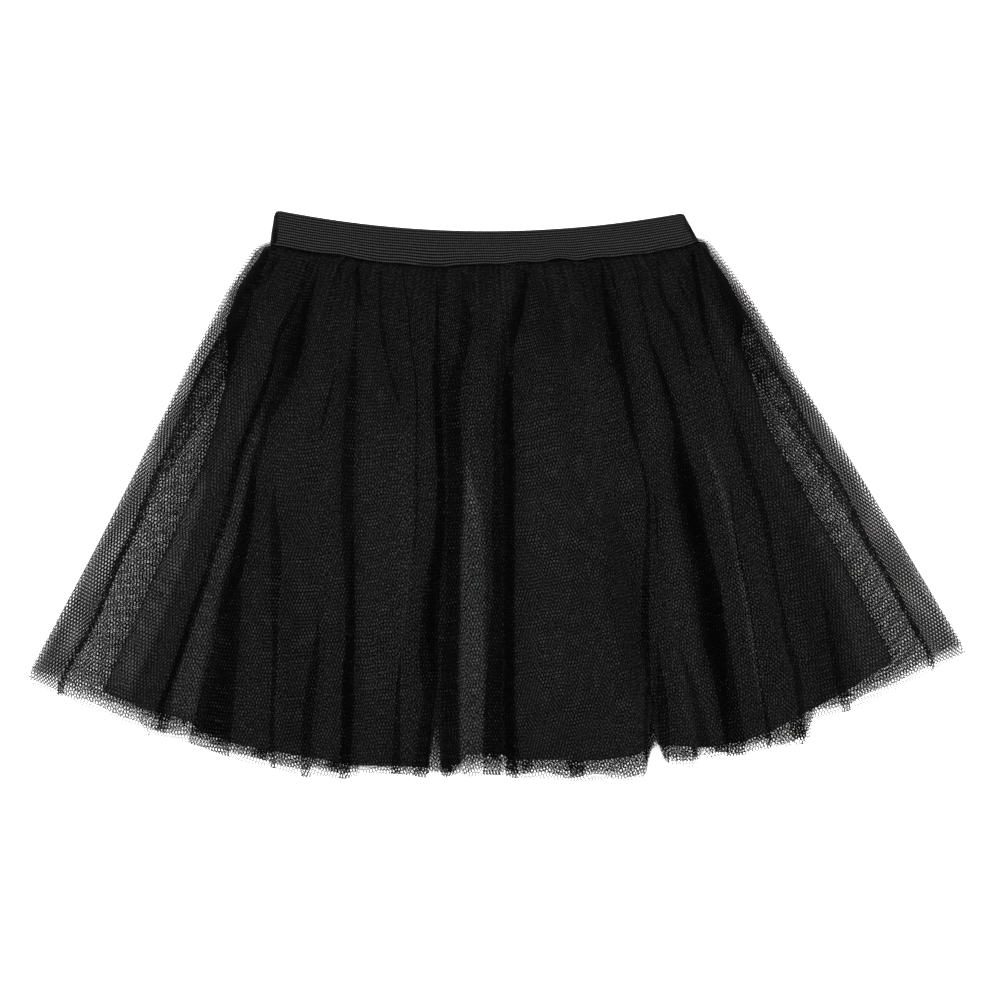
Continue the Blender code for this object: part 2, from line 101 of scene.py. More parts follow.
# the front's folds and shades are laid out in the photo's pixels, counted down and to the
# right; a fold: the way that its edge faces, then down, right and lap at its places
PLAN_STEP = 0.61
PLAN_MIDDLE = (497.0, 496.0)
FRONT_FOLDS = (
    (-1, ((244, 268, 7), (252, 263, 10), (262, 257, 13), (280, 247, 16), (300, 237, 18),
          (320, 226, 23), (340, 216, 25), (360, 205, 26), (380, 195, 26), (400, 187, 22),
          (420, 179, 21), (440, 169, 18), (460, 160, 15), (480, 151, 12), (500, 142, 10),
          (550, 121, 7), (600, 99, 5), (685, 58, 3))),
    (-1, ((246, 283, 3), (262, 275, 3), (278, 269, 2), (300, 266, -4), (340, 260, -5),
          (400, 244, -5), (480, 219, -5), (560, 196, -5), (640, 172, -5), (710, 150, -5))),
    (+1, ((252, 313, 3), (265, 310, 3), (285, 305, 3.5), (300, 300, 4), (320, 290, 4),
          (340, 280, 4), (375, 272, 4), (405, 262, 5), (437, 250, 5.5), (470, 240, 7),
          (500, 234, 8), (545, 219, 8), (595, 204, 8), (645, 188, 9), (695, 169, 11),
          (715, 160, 11), (735, 149, 11))),
    (-1, ((256, 320, 4), (285, 313, 4), (300, 306, 6), (320, 297, 11), (340, 287, 17),
          (360, 282, 22), (380, 280, 14), (400, 271, 11), (420, 264, 7), (440, 260, 6),
          (470, 252, 7), (500, 247, 9), (540, 239, 11), (570, 230, 13), (600, 222, 20),
          (640, 215, 24), (680, 206, 30), (735, 190, 40))),
    (-1, ((258, 329, -5), (340, 318, -5), (400, 305, -5), (440, 290, -4), (480, 277, 0),
          (505, 272, 6), (540, 271, 10), (565, 271, 10), (600, 271, 8), (640, 272, 5),
          (750, 271, 5))),
    (+1, ((258, 340, 3), (278, 342, 3), (300, 342, -4), (340, 340, -4), (380, 334, 3),
          (405, 328, 4), (425, 323, 3), (450, 321, -4), (590, 321, -4), (625, 321, 3),
          (660, 319, 8), (700, 314, 11), (755, 311, 10))),
    (+1, ((260, 359, 2), (280, 360, 4), (300, 361, 4), (320, 359, 3), (340, 357, 4),
          (370, 355.5, 8), (400, 355, 11), (500, 355, 13), (560, 355, 11), (600, 355, 10),
          (640, 355, 10), (700, 354, 13), (757, 350, 11))),
    (+1, ((262, 383, 4), (300, 383, 4), (330, 385, 5), (355, 388, 5), (375, 392, 4),
          (395, 398, 3.5), (412, 402, -1), (450, 403, -5), (768, 400, -5))),
    (+1, ((262, 403, 2), (310, 409, 2), (340, 412, 2.5), (370, 416, 2.5), (400, 418, 3),
          (500, 418, 2.5), (560, 414, 1), (600, 408, -4), (700, 395, -5), (768, 392, -5))),
    (+1, ((264, 440, 2), (300, 439, 3), (340, 439, 4), (370, 440, 5), (400, 441, 7),
          (440, 443, 7), (480, 445, 7), (540, 444, 9), (580, 440, 14), (600, 440, 18),
          (640, 438, 20), (680, 438, 18), (700, 436, 14), (735, 431.5, 14), (768, 428, 14))),
    (-1, ((264, 460, 3), (280, 461, 6), (300, 461, 5), (320, 460, 12), (340, 459, 11),
          (360, 456, 10), (380, 451, 12), (400, 448, 13), (440, 447, 14), (500, 448, 14),
          (560, 447, 13), (600, 446, 14), (640, 444, 15), (700, 441, 17), (768, 441, 19))),
    (+1, ((263, 500, 1), (285, 499.5, -3), (350, 498.5, 2), (400, 498.5, 3), (450, 499, 5),
          (500, 500, 8), (560, 500.5, 9), (600, 500.5, 8), (640, 500.5, 12), (700, 501, 16),
          (765, 502, 18))),
    (-1, ((262, 526, 4), (280, 523, 5), (300, 518, 7), (315, 513, 8), (330, 509, 9),
          (345, 509, 5), (360, 508, 4), (378, 504, 8), (400, 503, 10), (440, 503, 12),
          (500, 504, 11), (560, 505.5, 8), (580, 504.5, 10), (650, 505, 10), (765, 505, 12))),
    (+1, ((259, 577, 4), (280, 582, 4), (300, 586, 3), (330, 589, -4), (500, 596, -5),
          (760, 610, -5))),
    (+1, ((258, 602, 3), (280, 606, 5), (300, 610, 7), (315, 616, 11), (330, 620, 15),
          (345, 622, 14), (360, 624, 12), (375, 626, 9), (395, 630, 7), (415, 633, 6),
          (435, 637, 5), (455, 642, 4), (480, 647, 4), (500, 649, 4), (560, 648, 6),
          (600, 648.5, 8), (640, 649, 8), (690, 650.5, 5), (755, 648, 5))),
    (-1, ((257, 606, 2.5), (280, 612, 3), (300, 618, 2), (330, 629, -4), (400, 646, -5),
          (470, 653, -4), (500, 655, 2.5), (540, 656.5, 2), (600, 656, -3), (660, 656, 4),
          (700, 656.5, 11), (755, 659, 10))),
    (-1, ((255, 631, 3), (280, 636, 3.5), (300, 639, 3.5), (320, 643, 4), (340, 648, 4),
          (355, 653, 5), (375, 659, 5), (395, 665, 6), (415, 670, 7), (435, 672, 10),
          (455, 671, 16), (480, 673.5, 22), (520, 681, 24), (560, 691, 24), (600, 697, 29),
          (640, 702, 30), (680, 713, 27), (740, 725, 23))),
    (-1, ((252, 655, 3), (280, 657, 4), (290, 658, 5), (305, 662, 6), (315, 668, 8),
          (335, 676, 7), (350, 681, 6), (370, 688, 3), (400, 697, -4), (480, 715, -5),
          (600, 737, -5), (735, 760, -5))),
    (+1, ((248, 672, -3), (285, 682, 3), (300, 689, 3), (312, 693, 1), (340, 698, -4),
          (400, 712, -5), (455, 724, -4), (500, 731, 1.5), (540, 737, 2), (600, 750, 4),
          (640, 756, 3), (680, 762, 4), (735, 770, 6))),
    (+1, ((243, 692, 3), (262, 697, 5), (290, 702, 6), (310, 704, 6), (330, 707, 5),
          (350, 712, 4), (370, 718, 3), (390, 727, 5), (420, 738, 7), (450, 748, 9),
          (480, 757, 8), (510, 766, 7), (560, 775, 6), (600, 781, 4), (640, 789, 5),
          (680, 798, 5), (720, 805, 5))),
    (+1, ((244, 695, -5), (262, 700, -5), (300, 708, -5), (340, 721, -5), (400, 745, -5),
          (460, 772, -5), (520, 797, -5), (560, 812, -1), (600, 824, 3), (640, 834, 6),
          (680, 843, 8), (706, 850, 8))),
    (+1, ((242, 702, 4), (260, 711, 9), (280, 726, 15), (300, 738, 20), (340, 762, 25),
          (380, 786, 25), (400, 796, 20), (420, 806, 17), (440, 817, 16), (460, 828, 15),
          (500, 850, 11), (520, 861, 9), (560, 881, 6), (600, 903, 5), (657, 934, 4))),
)
# the back's: the way that an edge faces, its x and its lap at five places from seam to hem
BACK_FOLDS = (
    (+1, (-104, -126, -150, -176, -203), (3, 5, 7, 6, 7)),
    (-1, (-88, -104, -119, -136, -150), (2, 6, 4, 8, 9)),
    (-1, (-66, -76, -88, -97, -103), (3, 4, 6, 5, 6)),
    (+1, (-47, -50, -53, -58, -66), (3, 7, 5, 8, 8)),
    (+1, (-24, -25, -22, -25, -28), (2, 4, 6, 4, 7)),
    (-1, (-2, 3, 9, 12, 16), (3, 6, 9, 7, 6)),
    (+1, (23, 35, 43, 50, 54), (3, 4, 5, 8, 9)),
    (-1, (45, 60, 74, 84, 92), (2, 5, 6, 5, 8)),
    (+1, (67, 92, 110, 125, 140), (3, 6, 4, 7, 6)),
    (+1, (86, 121, 150, 172, 190), (2, 4, 7, 6, 8)),
)

FOLD_HEIGHT = 2 * LAYER + 0.1
FOLD_TILT = 0.03
FOLD_MARGIN = 1.8
FOLD_OPEN = 1.2
SHUT_LAP = 0.6
OPEN_LAP = -2.0
FADED_LAP = -5.0
FOLD_FLAT = 0.3
SEAM_FOLD = 0.12
FOLD_ROOM = 0.86
SIDE_KEPT = 2.5
SEAM_SHARE = -0.004       # these three are further up than in the solids
SWELL_SHARE = 0.009
LAP_SHARE = 0.022
BACK_RISE = 4.0
UNDER_FOLD_LAPS = (4.5, 2.6)      # of the back's outermost folds, right under the front's
CROWN = 0.05
CROWN_MOST = 2.0

SECOND_INSET = 2.2        # smaller than in the solids, as is the next but one
SECOND_TUCKED = 2.0
SECOND_LATE = 2.2

UNDER_TOP_SHARE = -0.012
# share of the way from seam to hem, x of its left and right edge; widened near the band to
# match the dark that is seen there, past the solid's straight sides
UNDER_SIDES = (
    (-0.012, -129.5, 113.0), (-0.004, -134.0, 119.5), (0.002, -141.8, 127.9),
    (0.012, -143.3, 129.5), (0.03, -146.0, 131.0), (0.06, -152.0, 136.5),
    (0.095, -158.0, 142.5), (0.153, -163.5, 150.0), (0.19, -165.0, 151.5), (0.235, -163.5, 149.5),
    (0.303, -165.5, 156.0), (0.36, -169.5, 160.0), (0.42, -173.5, 164.7), (0.49, -180.0, 173.2),
    (0.57, -188.5, 185.4), (0.64, -196.5, 194.6), (0.70, -204.0, 204.0), (1.0, -239.7, 242.2),
)

# layer: walls below it in the band, at the skirt's sides, on its body, and the folds
STACK = {
    "outer_back": (0, 0, 0, 0),
    "second_back": (1.15, 1.2, 1.2, 1),
    "under_back": (1.42, 1.5, 2.3, 1),
    "under_front": (1.85, 1.5, 3.3, 1),
    "second_front": (2.3, 2.4, 4.4, 1),
    "outer_front": (3.4, 3.6, 5.6, 1),
}
STACK_RUN = 9.0
STACK_SPREAD = 25.0

# ---------------------------------------------------------------- small helpers
def blend(start, end, share):
    return start + (end - start) * share


def ease(share):
    share = min(max(share, 0.0), 1.0)
    return share * share * (3 - 2 * share)


def along_table(rows, key, column):
    """Straight-line reading of one column of a table sorted by its first."""
    if key <= rows[0][0]:
        return rows[0][column]
    for low, high in zip(rows, rows[1:]):
        if key <= high[0]:
            return blend(low[column], high[column], (key - low[0]) / (high[0] - low[0]))
    return rows[-1][column]


def through(knots, share, column):
    """A smooth curve of one column through knots that are sorted by their share."""
    last = len(knots) - 1
    first = 0
    while first < last - 1 and knots[first + 1][0] < share:
        first += 1
    low, high = knots[first], knots[first + 1]
    run = high[0] - low[0]
    t = min(max((share - low[0]) / run, 0.0), 1.0)
    before, after = knots[max(first - 1, 0)], knots[min(first + 2, last)]
    leave = (high[column] - before[column]) / (high[0] - before[0]) * run
    arrive = (after[column] - low[column]) / (after[0] - low[0]) * run
    return (low[column] * (1 + 2 * t) * (1 - t) ** 2 + leave * t * (1 - t) ** 2
            + high[column] * (3 - 2 * t) * t * t - arrive * t * t * (1 - t))


def even_knots(edges, sizes):
    """Knots for values that are spaced evenly from seam to hem."""
    count = len(edges) - 1
    return tuple((k / count, edge, size) for k, (edge, size) in enumerate(zip(edges, sizes)))


def sagging(edge, share):
    """A point that share of the way along an edge which hangs between its ends."""
    x = blend(edge["left"][0], edge["right"][0], share)
    y = blend(edge["left"][1], edge["right"][1], share)
    return x, y - edge["sag"] * (1 - (2 * share - 1) ** 2)


def ripple(seed, count, slowest, fastest):
    """A smooth uneven wave between about -1 and 1 of one number, the same each run."""
    rng = random.Random(seed)
    waves = [(rng.uniform(slowest, fastest), rng.uniform(0, 2 * math.pi)) for _ in range(count)]
    return lambda place: sum(math.sin(pace * place + turn) for pace, turn in waves) / count ** 0.5


def swells(seed, count, longest):
    """The same over a plane, with waves down to a third of that length in mm."""
    rng = random.Random(seed)
    waves = []
    for _ in range(count):
        pace, way = 2 * math.pi / (longest * rng.uniform(0.33, 1.0)), rng.uniform(-0.6, 0.6)
        waves.append((pace * math.cos(way), pace * math.sin(way), rng.uniform(0, 2 * math.pi)))
    return lambda x, y: sum(math.sin(a * x + b * y + c) for a, b, c in waves) / count ** 0.5


# ---------------------------------------------------------------- sizes of the looks
SKIRT_LENGTH = 300        # about, for waves that run down the cloth
PANEL_STEP = 3.2          # widest gap between two columns of a net's mesh
ROW_STEP = 0.0118         # gap between its rows, as a share of the length
SEAM_ROWS = (-0.017, -0.010, -0.007, -0.004, -0.0015, 0.001, 0.0035, 0.006, 0.009, 0.0125, 0.0165,
             0.0215, 0.027, 0.033, 0.041, 0.049, 0.058, 0.068)
END_STEPS = 6             # stretches round a tube's side
SIDE_EVEN = 12.0          # the cloth lies even this near its side edges
EDGE_WOBBLE = 0.6         # how far a fold's edge strays from its smooth line

NET_PITCH = 1.9           # from hole to hole along a row
NET_ROWS = 2.2            # from row to row
NET_YARN = 0.325          # the slanting yarns
NET_PILLAR = 0.465        # the upright ones between neighbouring holes
NET_SOFT = 0.05           # softness of the yarn's edge, as a share of the pitch
NET_ROUGHNESS = 0.42
NET_SPECULAR = 0.01
# the yarn's colour at its edges, and along its middle, which is painted lighter as a highlight on
# a round thread
NET_DARK = (0.0002, 0.0002, 0.0002)
NET_HIGHLIGHT = (0.0006, 0.0006, 0.0006)
GRAIN = {"outer_front": 0.0, "second_front": 15.0, "outer_back": -30.0, "second_back": -45.0}
GRAIN_TURN = 5.0          # degrees that a strip's threads may lean from its layer's grain
SIDE_PACK = 1.1           # threads drawn together at a tube's side, in mm
SIDE_LOOSE = 0.92         # and spread again further in
SIDE_APART = {"outer_front": 0.16, "second_front": 0.0}   # front's from the back's there
GRAIN_WAVE = 0.7          # how far a strip's threads stray sideways,
SIDE_WAVE = GRAIN_WAVE / 3     # and in a strip that turns round a tube's side
GRAIN_WAVES = (17.0, 23.0, 29.0, 13.0)      # mm for each radian of that straying
NET_SHIFT = 400           # each strip's threads begin anywhere within this
GATHER_PACK = 1.5         # how much closer the net's threads are drawn at the seam
GATHER_REACH = 0.09       # share of the length over which they spread again

SECOND_FOLD_HEIGHT = 1.1
LAYER_GATHERS = {         # seed of a layer's random draws, then how many gathers, and the tallest
    "outer_front": (3, 52, 2.2), "outer_back": (4, 40, 0.0),
    "second_front": (5, 44, 0.45), "second_back": (6, 40, 0.3),
}
GATHER_STRAY = 0.38       # from even spacing
GATHER_HALF = (0.32, 0.62)     # half widths, as shares of the spacing
GATHER_TALL = (0.35, 1.0)      # heights, as shares of the tallest
GATHER_REACHES = (0.05, 0.08, 0.12, 0.2, 0.32)     # shares down at which they end,
GATHER_UNEVEN = (0.8, 1.3)                         # each times a draw from this
GATHER_LEAN = 0.05
LAYER_SWELLS = (6, 70.0)  # waves of the cloth and the longest of them
FRONT_UNEVEN = 0.35       # their height in the outer net's front,
REST_UNEVEN = 0.1         # and elsewhere
FOLD_WOBBLE = (4, 6.0, 34.0)   # waves in a fold's edge, the slowest and the fastest
SECOND_BACK = (22, 11, 7.0)    # seed, places for folds and widest lap of its back's folds
UNDER_FOLD_SHUT = 0.4     # share down at which the back's outermost folds have their last lap
SHORTER = {"outer_front": 0.0, "outer_back": 2.0, "second_front": 0.0, "second_back": 2.5}
RAGGED = {"outer_front": 0.5, "outer_back": 1.0, "second_front": 1.0, "second_back": 1.2}
SECOND_FRONT_FOLDS = (   # in the same pixels as the outer net's
    (+1, ((252, 312, -4), (295, 301, 2), (320, 289, 3.5), (340, 279, 4), (375, 271, 4.5),
          (405, 261, 5), (437, 249, 4.5), (470, 239, 3), (500, 233, -2), (570, 211, -2),
          (595, 203, 4), (645, 187, 5), (712, 164, 5))),
    (-1, ((256, 322, -4), (290, 312, 3), (305, 305, 6), (320, 301, 6), (340, 297, 7),
          (360, 292, 7), (380, 284, 4), (400, 276, -4), (460, 256, -3), (480, 250, 5),
          (500, 247, 9), (540, 239.5, 10), (570, 231, 11), (595, 225, 8), (625, 219, 2),
          (660, 212, -4), (735, 192, -5))),
    (+1, ((260, 358.5, 2), (280, 359.5, 4), (300, 360.5, 4), (318, 359, -3), (400, 354, -5),
          (500, 354, -4), (545, 354, 3), (600, 354.5, 6), (640, 354.5, 8), (700, 353.5, 10),
          (757, 349.5, 9))),
    (+1, ((264, 439, -4), (300, 438.5, 2), (350, 438.5, 4), (380, 440, 6), (440, 442.5, 7),
          (500, 444.5, 8), (540, 443.5, 9), (580, 439.5, 10), (620, 438.5, 12),
          (650, 437.5, 9), (690, 436, 2), (768, 428, 3))),
    (-1, ((262, 527, 2), (280, 524, 3), (300, 519, 6), (330, 510, 8), (345, 510, 3),
          (362, 508, -3), (380, 504.5, 7), (400, 504, 9), (500, 505, 9), (700, 505, 9),
          (765, 506, 9))),
    (+1, ((258, 601, -4), (280, 605, 4), (300, 609, 6), (330, 619, 10), (360, 623, 8),
          (400, 630, 5), (430, 635, 4), (455, 641, -3), (560, 647, -5), (590, 648, 4),
          (640, 648.5, 4), (690, 650, -3), (755, 648, -4))),
    (-1, ((255, 632, -4), (335, 647, -1), (355, 653.5, 4), (395, 665.5, 5), (435, 674, 7),
          (455, 675, 10), (480, 677, 16), (500, 680, 19), (540, 689, 18), (560, 697, 15),
          (600, 700, 21), (640, 704, 22), (680, 714, 13), (735, 724, 5))),
    (+1, ((243, 691, -4), (262, 696, 4), (290, 701, 5), (310, 703, 5), (335, 707, 4),
          (352, 712, 3), (385, 725, -4), (450, 747, -4), (720, 804, -5))),
)
SECOND_HEM = (            # hem x, how much shorter the second net is there
    (-285.5, 6.5), (-190, 7), (-186, 3.5), (-84, 3.5), (-80, 1.2), (-22, 1.5),
    (-20, 7), (4, 6), (10, 3), (88, 4.5), (100, 2), (190, 2), (200, 5), (285.5, 6.5),
)

CLOTH_SPECULAR = 0.03
CLOTH_ROUGHNESS = 0.85
WEAVE_PITCH = 0.8
WEAVE_TONE = 0.1          # share of the weave in the cloth's tone
WEAVE_RELIEF = 0.5        # and in its relief
CLOUDS = (60.0, 3.0, 0.35)     # scale, detail and weight of its wide unevenness
GRAINS = (750.0, 1.0, 2.6)     # and of its fine one
GRAINS_MEAN = 0.975       # taken off, so that the fine one is about even
CLOTH_RELIEF = 0.0001
UNDER_DARK = (0.003, 0.003, 0.0031)
UNDER_LIGHT = (0.0335, 0.0335, 0.034)
UNDER_ROWS = 70
UNDER_COLUMNS = 400
# painted light and shade on the under layer: how much lighter, as a painted highlight, or
# darker, as painted shade in the nets' folds and gathers, it is along a strip, to match the
# shades that are seen, and the strip's places in pixels: down, right and half width
LIGHT_AND_SHADE_STRIPS = (
    (1.7, ((425, 261, 1), (440, 257, 3), (470, 247, 3.5), (500, 241, 4.5), (540, 232, 5.5),
           (600, 213, 8), (640, 203, 9), (680, 193, 11), (725, 183, 12))),
    (0.2, ((350, 246, 5), (400, 240, 13), (440, 231, 14), (480, 216, 12), (500, 208, 9))),
    (1.9, ((500, 200, 5), (540, 184, 8), (567, 173, 11), (600, 159, 13), (640, 144, 14),
           (680, 128, 13), (700, 120, 12))),
    (0.4, ((425, 469, 2), (450, 471, 7), (480, 474, 10), (510, 474, 10))),
    (1.8, ((480, 468, 1), (505, 471, 5), (530, 473, 9), (560, 473, 11), (700, 472, 12),
           (770, 471, 12))),
    (0.3, ((270, 508, 4), (290, 507, 7), (315, 503, 8), (330, 500, 5))),
    (0.25, ((290, 450, 6), (320, 450, 7), (345, 452, 6))),
    (-0.2, ((262, 488, 8), (280, 488, 8))),
    (-0.25, ((255, 595, 8), (300, 596, 6), (335, 585, 12), (345, 583, 8))),
    (-0.2, ((300, 545, 8), (330, 552, 14), (345, 556, 10))),
    (0.25, ((290, 622, 5), (320, 632, 6), (360, 640, 8), (400, 648, 8), (440, 655, 6))),
    (0.2, ((420, 385, 26), (500, 385, 28), (600, 383, 26), (640, 380, 22), (700, 382, 14))),
    (0.15, ((500, 405, 6), (560, 404, 7), (620, 403, 6))),
    (1.5, ((460, 706, 1), (480, 714, 2), (505, 722, 2), (540, 730, 1.5), (580, 738, 1.5),
           (600, 743, 3), (625, 748, 3.5), (650, 752, 3.5), (680, 757, 3), (705, 761, 2))),
    (-0.32, ((520, 610, 8), (560, 620, 16), (600, 621, 18), (640, 629, 14), (690, 640, 8))),
    (-0.65, ((655, 680, 1), (690, 691, 4), (720, 698, 5), (748, 704, 6))),
    (-0.3, ((540, 792, 6), (580, 804, 12), (620, 814, 14), (660, 824, 16), (700, 832, 15))),
    (0.8, ((530, 815, 5), (560, 828, 9), (600, 847, 12), (640, 861, 13), (662, 868, 14),
           (700, 880, 14))),
    (-0.3, ((262, 526, 4), (300, 519, 6), (330, 510, 7), (400, 505, 7), (765, 506, 8))),
    (0.2, ((560, 672, 8), (600, 680, 11), (640, 682, 13), (680, 687, 12), (730, 692, 12))),
    (-0.2, ((600, 290, 7), (640, 290, 9), (700, 292, 9), (765, 290, 9))),
    (0.25, ((270, 668, 5), (290, 672, 5), (305, 679, 4), (320, 690, 3))),
    (0.3, ((300, 712, 3), (320, 716, 4), (345, 724, 4), (365, 733, 3))),
    (-0.25, ((395, 362, 5), (408, 385, 18), (421, 392, 18))),
    (0.25, ((350, 478, 8), (420, 480, 10))),
    (0.15, ((400, 540, 14), (480, 545, 20), (600, 550, 20), (700, 548, 18))),
)
# softness of the sides of a painted strip of light or shade
LIGHT_AND_SHADE_STRIPS_EDGE = 1.6
LIGHT_AND_SHADE_STRIPS_FADE = 0.04         # share of the length over which a strip begins and ends
UNDER_SIDE_SHADE = (            # share down, width and darkness of the painted shade along its sides
    (0.0, 3.5, 0.6), (0.10, 5.0, 0.75), (0.22, 4.5, 0.75), (0.27, 2.2, 0.5), (0.5, 1.6, 0.35),
    (1.0, 1.2, 0.3),
)
# painted shade on the under layer near the band, under the gathered net
UNDER_TOP_SHADE = 0.66     # share of its tone that is left at the band, as is seen there,
UNDER_TOP_REACH = 0.45    # and the share down at which it has all of it
GATHER_LIGHT_AND_SHADE = ripple("gathers", 9, 140.0, 620.0)     # painted streaks of light and shade near the band, where the nets are gathered
GATHER_SHADE_STRENGTH = 0.45
GATHER_SHADE_REACH = 0.1
UNDER_BACK_SHORTER = 2.0
UNDER_HEM_LINE = (        # x and y of its hem, with a notch under each gap in the nets' hem
    (-239.7, -119.0), (-213, -130.5), (-200, -133), (-187, -137.5), (-181, -143), (-159, -151),
    (-119, -158.5), (-95, -162), (-85, -164), (-60, -164.5),
    (-41.4, -165.5), (-40.2, -155), (-37.6, -143), (-35.4, -138), (-34.4, -150), (-33.8, -165),
    (-22, -163), (-18, -157.5), (2, -157), (10, -160.5), (63, -161), (86, -158), (92.6, -153.5),
    (93.8, -144), (94.8, -129), (96.6, -131), (98.4, -151.5), (127, -153),
    (150, -149.5), (167, -144), (186, -133.5), (215, -118), (242.2, -100.6),
)
UNDER_ENDS = UNDER_HEM_LINE[0][0], UNDER_HEM_LINE[-1][0]
UNDER_SWELLS = (5, 90.0)  # waves of the panel and the longest of them,
UNDER_SWELL = 0.25        # their height,
UNDER_SWELL_DRAWN = 0.3   # and how much they are drawn out down the panel
UNDER_SIDE_SHADE_SOFT = 0.8     # softness of the painted shade along its sides

BAND_STATIONS = 170       # stretches along each side of the band
BAND_END_STEPS = 14       # and round each end
BAND_HEIGHT = 20.2
BAND_HEIGHT_STEPS = 84
BAND_PLAIN = 2.2          # plain edge above the uppermost rib
BAND_WAVE = 0.25          # fine waves of the lower edge
BAND_HANG = (             # share of the way along, and how far its lower edge is pulled down
    (0.0, 0.0), (0.12, -0.1), (0.165, -0.6), (0.21, 0.4), (0.26, 1.3), (0.305, 1.0), (0.35, 1.6),
    (0.4, 2.1), (0.44, 0.2), (0.49, -0.1), (0.54, -0.4), (0.585, -1.0), (0.63, -0.5),
    (0.675, -1.4), (0.72, 0.5), (0.77, 0.6), (0.815, 1.1), (0.86, 2.4), (0.91, 2.0), (0.955, 2.5),
    (1.0, 0.6),
)
BAND_CORNER = (4.3, 7.5)  # rounding of its upper corners, across and down
BAND_PUCKER = 0.3
BAND_EDGE = ripple("edge", 5, 0.2, 1.6)
BAND_DIMPLE = ripple("dimple", 5, 0.5, 1.5)
BAND_EDGE_PACE = 0.35     # how far each of the two runs on in a stretch round the band
BAND_DIMPLE_PACE = 0.5
BAND_RUN_OUT = 0.5        # its edges thin over this height, to this share of the wall
BAND_THINNED = 0.45
BAND_INSIDE_STEPS = 10
BAND_INSIDE_DEPTH = 0.8   # how far in its plain inside lies, as a share of half the wall
RIB_ROUND = 0.45          # the smaller, the flatter a rib's top
RIB_PLAIN = 0.8           # level of the plain edge between groove and rib
RIB_PITCH = 1.55
RIB_DEPTH = 0.32
STITCH_PITCH = 1.3
STITCH_TONE = 0.3         # share of the stitches in the elastic's tone
STITCH_RELIEF = 0.4       # and in its relief
GROOVE = (0.15, 0.38)     # where a groove begins and is full, in rib pitches from its middle
# painted shade in the grooves: how much darker they are
GROOVE_SHADE = 0.95
ELASTIC_FUZZ = 900.0
ELASTIC_RELIEF = 0.00012
ELASTIC_ROUGHNESS = 0.8
ELASTIC_SPECULAR = 0.03
ELASTIC_DARK = (0.0003, 0.0003, 0.0003)
ELASTIC_LIGHT = (0.0285, 0.0285, 0.0288)

FLOOR_SIZE = 12.0         # metres, as are the light's and the camera's sizes
FLOOR_DROP = 0.0006       # it lies this far under the cloth
FLOOR_TONE = (0.92, 0.92, 0.92)
FLOOR_ROUGHNESS = 0.9
WORLD_STRENGTH = 0.8
THROUGH_CLOTH = 64        # times that light may pass through the nets' holes
LIGHTS = (
    ("left_box", (-1.7, 0.5, 1.5), (1.4, 1.4), 92.0),
    ("right_box", (1.7, 0.5, 1.5), (1.4, 1.4), 92.0),
    ("low_box", (0.0, -1.9, 1.4), (2.0, 0.9), 46.0),
)
SENSOR = 36.0
LENS = 85.0
FRAME_WIDTH = 0.61
FRAME_CENTRE = (0.00244, -0.00183)
SUBJECT_HEIGHT = 0.010


# ---------------------------------------------------------------- the skirt's plan
def side_edges(share):
    return along_table(SIDES, share, 1), along_table(SIDES, share, 2)


def fan_share(x, share):
    left, right = side_edges(share)
    return (x - left) / (right - left)


def seam_y(across):
    return sagging(BAND_LOWER, across)[1]


def hem_x(across):
    return blend(HEM[0][0], HEM[-1][0], across)


def hem_y(across):
    return along_table(HEM, hem_x(across), 1)


def gap_height(across):
    x = hem_x(across)
    return sum(height * ease(1 - abs(x - middle) / half) for middle, half, height in HEM_GAPS)


def plan_knots(places):
    """Knots for places in pixels: the share down, x and a size, in mm."""
    knots = []
    for down, right, size in places:
        x, y = (right - PLAN_MIDDLE[1]) * PLAN_STEP, (PLAN_MIDDLE[0] - down) * PLAN_STEP
        share = 0.5
        for _ in range(20):
            across = min(max(fan_share(x, share), 0.0), 1.0)
            top = seam_y(across)
            share = min(max((top - y) / (top - hem_y(across)), 0.0), 1.1)
        knots.append((share, x, size * PLAN_STEP))
    return tuple(knots)


HEM_WAVES = {name: ripple(name, 7, 9.0, 120.0) for name in SHORTER}


def cloth_y(layer, x, share):
    """y of a net's cloth: the same fan for all, each cut to its own length."""
    across = fan_share(x, share)
    low = hem_y(across) + SHORTER[layer] + RAGGED[layer] * HEM_WAVES[layer](across)
    if layer.startswith("second"):
        low += along_table(SECOND_HEM, hem_x(across), 1)
    if layer == "outer_front":
        low += gap_height(across) * ease((share - GAP_SHARE) / (1 - GAP_SHARE))
    return blend(seam_y(across), low, share)


# ---------------------------------------------------------------- stacked heights
def swelling(share):
    return ease((share - SEAM_SHARE) / (SWELL_SHARE - SEAM_SHARE))


def stack_height(layer, from_side, share):
    in_band, at_side, on_body, folds = STACK[layer]
    sewn = BAND_WALL + CLEAR + CLOTH / 2 + in_band * LAYER + folds * FOLD_HEIGHT * SEAM_FOLD
    side = CLOTH / 2 + at_side * LAYER
    body = CLOTH / 2 + on_body * LAYER + folds * FOLD_HEIGHT
    run = STACK_RUN + STACK_SPREAD * max(share, 0.0)
    return blend(sewn, blend(side, body, ease(from_side / run)), swelling(share))


# ---------------------------------------------------------------- gathers
def make_gathers(seed, count, tallest):
    """Short ridges that run down from the seam: place, half width, height, reach, lean."""
    rng = random.Random(seed)
    ridges = []
    for k in range(count):
        place = (k + 0.5 + rng.uniform(-GATHER_STRAY, GATHER_STRAY)) / count
        half, height = rng.uniform(*GATHER_HALF) / count, tallest * rng.uniform(*GATHER_TALL)
        reach = rng.choice(GATHER_REACHES) * rng.uniform(*GATHER_UNEVEN)
        ridges.append((place, half, height, reach, rng.uniform(-GATHER_LEAN, GATHER_LEAN)))
    return ridges


def gathered(ridges, across, share):
    """Height of the gathers at a place, none of it in the band's mouth."""
    total = 0.0
    for place, half, height, reach, lean in ridges:
        if share >= reach:
            continue
        away = abs(across - place - lean * share) / (half * (1 + 2.0 * share / reach))
        if away < 1:
            total += height * (1 - share / reach) ** 1.5 * ease(1 - away)
    return total * swelling(share)


